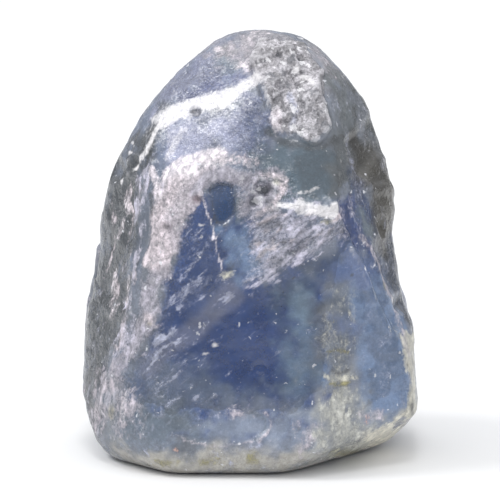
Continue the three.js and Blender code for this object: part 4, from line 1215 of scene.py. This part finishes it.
def skin_cover(node, on):
    """How far the skin covers the glass, eaten through by its own grains, threads and crinkles."""
    threads = node("Mix", {0: on.clear, 2: on.fibres, 3: on.scratches})
    weave = node("Math", [on.mottle, 0.2], operation="MULTIPLY")
    for grain, share in ((on.sugar, 0.3), (threads, 0.3), (on.crinkles, 0.2)):
        weave = node("Math", [grain, share, weave], operation="MULTIPLY_ADD")
    return eaten(node, on.cover, weave, reach=2.6, low=0.14, high=1.0)


def lit_crests_and_shaded_hollows(node, on, colour):
    """Worn crests are pale, partly from wear and partly as painted highlight on raised relief, and the
    hollows are painted darker as shade.
    """
    high = node("MapRange", [on.crest, 0.01, 0.06, 0.0, 0.45], **SMOOTH)
    cloudy = node("Math", [1.0, on.clear_glass], operation="SUBTRACT")
    worn = node("Math", [high, cloudy], operation="MULTIPLY")
    # Painted shade: the hollows are darkened.
    low = node("MapRange", [on.crest, -0.01, -0.06, 0.0, 0.55], **SMOOTH)
    colour = coated(node, colour, worn, "worn crest")
    return coated(node, colour, low, "hollow dirt")


def speckled(node, on, colour):
    """Single grains: some cells of a Voronoi pattern hold a ragged spot, of any size up to the reach. The
    bright spots where it is gritty are painted glints.
    """
    gritty = node("MapRange", [on.grit, 0.5, 1.0], **SMOOTH)
    for name, size, left_out, reach, strength, where in SPECKS:
        distance = node("TexVoronoi", {"Vector": on.ragged, "Scale": per_mm(size)}, "Distance")
        chance = node("SeparateXYZ", [distance.node.outputs["Color"]], "X")
        radius = node("MapRange", [chance, left_out, 1.0, 0.0, reach], **SMOOTH)
        inside = node("Math", [radius, distance], operation="SUBTRACT")
        spot = node("MapRange", [inside, 0.0, SPECK_EDGE, 0.0, strength], **SMOOTH)
        if where == "gritty":
            spot = node("Math", [spot, gritty], operation="MULTIPLY")
        colour = coated(node, colour, spot, name)
    return colour


def fine_bump(node, on, cover):
    """Relief too small for the mesh: broken grains, dust over them and the skin's crinkles."""
    facets = node("TexVoronoi", {"Vector": on.ragged, "Scale": per_mm(FACETS)}, "Distance")
    grains = node("Math", [on.grit, 1.2, 0.1], operation="MULTIPLY_ADD")
    grains = node("Math", [facets, grains], operation="MULTIPLY")
    powder = node("Math", [on.dust, 0.4, on.sugar], operation="MULTIPLY_ADD")
    powder = node("Math", [powder, node("Mix", {0: cover, 2: 0.4, 3: 1.0})], operation="MULTIPLY")
    creases = node("Math", [cover, 0.7], operation="MULTIPLY")
    powder = node("Math", [on.crinkles, creases, powder], operation="MULTIPLY_ADD")
    height = node("Math", [grains, powder], operation="ADD")
    gritty = node("MapRange", [on.grit, 0.05, 0.3, 0.3, 1.0], **SMOOTH)
    height = node("Math", [height, gritty], operation="MULTIPLY")
    return node("Bump", {"Height": height, "Strength": 0.7, "Distance": BUMP * MM})


def sapphire_material():
    """Rough corundum: deep blue and clear in the window, milky elsewhere, with a frosted skin."""
    material = bpy.data.materials.new("rough_corundum")
    material.use_nodes = True
    tree = material.node_tree
    tree.nodes.clear()
    node = partial(add, tree)
    on = stone_patterns(node)
    cover = skin_cover(node, on)
    most = node("Math", [cover, 0.94], operation="MULTIPLY")
    colour = coated(node, glassy_body(node, on), most, frosted_skin(node, on))
    # Crests get a pale colour, partly painted highlight, and hollows get painted shade. Then come the
    # specks, with painted glints.
    colour = speckled(node, on, lit_crests_and_shaded_hollows(node, on, colour))
    # Painted highlights: white laid over the colour where the highlight layer lies, which is also made
    # glossier.
    shine = eaten(node, on.shine, on.sugar, reach=1.2, low=0.12, high=1.0)
    polish = node("Math", [shine, 0.92], operation="MULTIPLY")
    colour = coated(node, colour, polish, "polish")
    rough = node("Mix", {0: cover, 2: GLASS_ROUGHNESS, 3: FROST_ROUGHNESS})
    rough = node("Mix", {0: shine, 2: rough, 3: POLISH_ROUGHNESS})
    bare = node("Math", [1.0, cover], operation="SUBTRACT")
    through = node("Math", [on.clear_glass, bare], operation="MULTIPLY")
    through = node("Math", [through, CLEARNESS], operation="MULTIPLY")
    surface = node("BsdfPrincipled", {
        "Base Color": colour, "Roughness": rough, "IOR": CORUNDUM_IOR, "Transmission Weight": through,
        "Normal": fine_bump(node, on, cover)})
    depth = node("VolumeAbsorption", {"Color": socket_colour("inner blue"), "Density": ABSORPTION})
    node("OutputMaterial", {"Surface": surface, "Volume": depth})
    return material


def paper_material():
    """Matt white paper: an even pale floor that shows no highlight."""
    material = bpy.data.materials.new("matt_paper")
    material.use_nodes = True
    shader = material.node_tree.nodes["Principled BSDF"]
    shader.inputs["Base Color"].default_value = socket_colour("paper")
    shader.inputs["Roughness"].default_value = PAPER_ROUGHNESS
    return material


# The stage
def build_floor():
    deselect_all()
    bpy.ops.mesh.primitive_plane_add(size=FLOOR_SIZE, location=(0, 0, 0))
    floor = bpy.context.object
    floor.name = "floor"
    floor.data.materials.append(paper_material())


def build_camera():
    distance = VIEW_WIDTH * LENS / SENSOR
    data = bpy.data.cameras.new("camera")
    data.lens = LENS
    data.sensor_width = SENSOR
    data.clip_start = CLIP_START
    camera = bpy.data.objects.new("camera", data)
    bpy.context.collection.objects.link(camera)
    back = Vector((0, -math.cos(VIEW_LEAN), math.sin(VIEW_LEAN)))
    camera.location = Vector((0, 0, AIM_HEIGHT)) + back * distance
    camera.rotation_euler = (-back).to_track_quat("-Z", "Y").to_euler()
    bpy.context.scene.camera = camera


def build_softboxes():
    for name, (direction, distance, size, power) in SOFTBOXES.items():
        data = bpy.data.lights.new(name, "AREA")
        data.shape = "DISK"
        data.size = size
        data.energy = power
        lamp = bpy.data.objects.new(name, data)
        bpy.context.collection.objects.link(lamp)
        towards = Vector(direction).normalized()
        lamp.location = Vector((0, 0, AIM_HEIGHT)) + towards * distance
        lamp.rotation_euler = towards.to_track_quat("Z", "Y").to_euler()


def build_surroundings():
    """A white room that is darker below the stone than above it."""
    world = bpy.data.worlds.new("studio")
    world.use_nodes = True
    node = partial(add, world.node_tree)
    world.node_tree.nodes.clear()
    height = node("SeparateXYZ", [node("TexCoord", output="Generated")], "Z")
    glow = node("MapRange", {"Value": height, "From Max": 0.5, "To Min": 0.3, "To Max": 1.05})
    background = node("Background", {"Color": (*DAYLIGHT, 1), "Strength": glow})
    node("OutputWorld", {"Surface": background})
    bpy.context.scene.world = world


def main():
    build_camera()
    build_floor()
    build_softboxes()
    build_surroundings()
    stone = build_stone()
    stone.data.materials.clear()
    stone.data.materials.append(sapphire_material())
    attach(stone, "root")
    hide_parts("sapphire")
    bpy.context.scene.view_settings.view_transform = "Standard"


main()
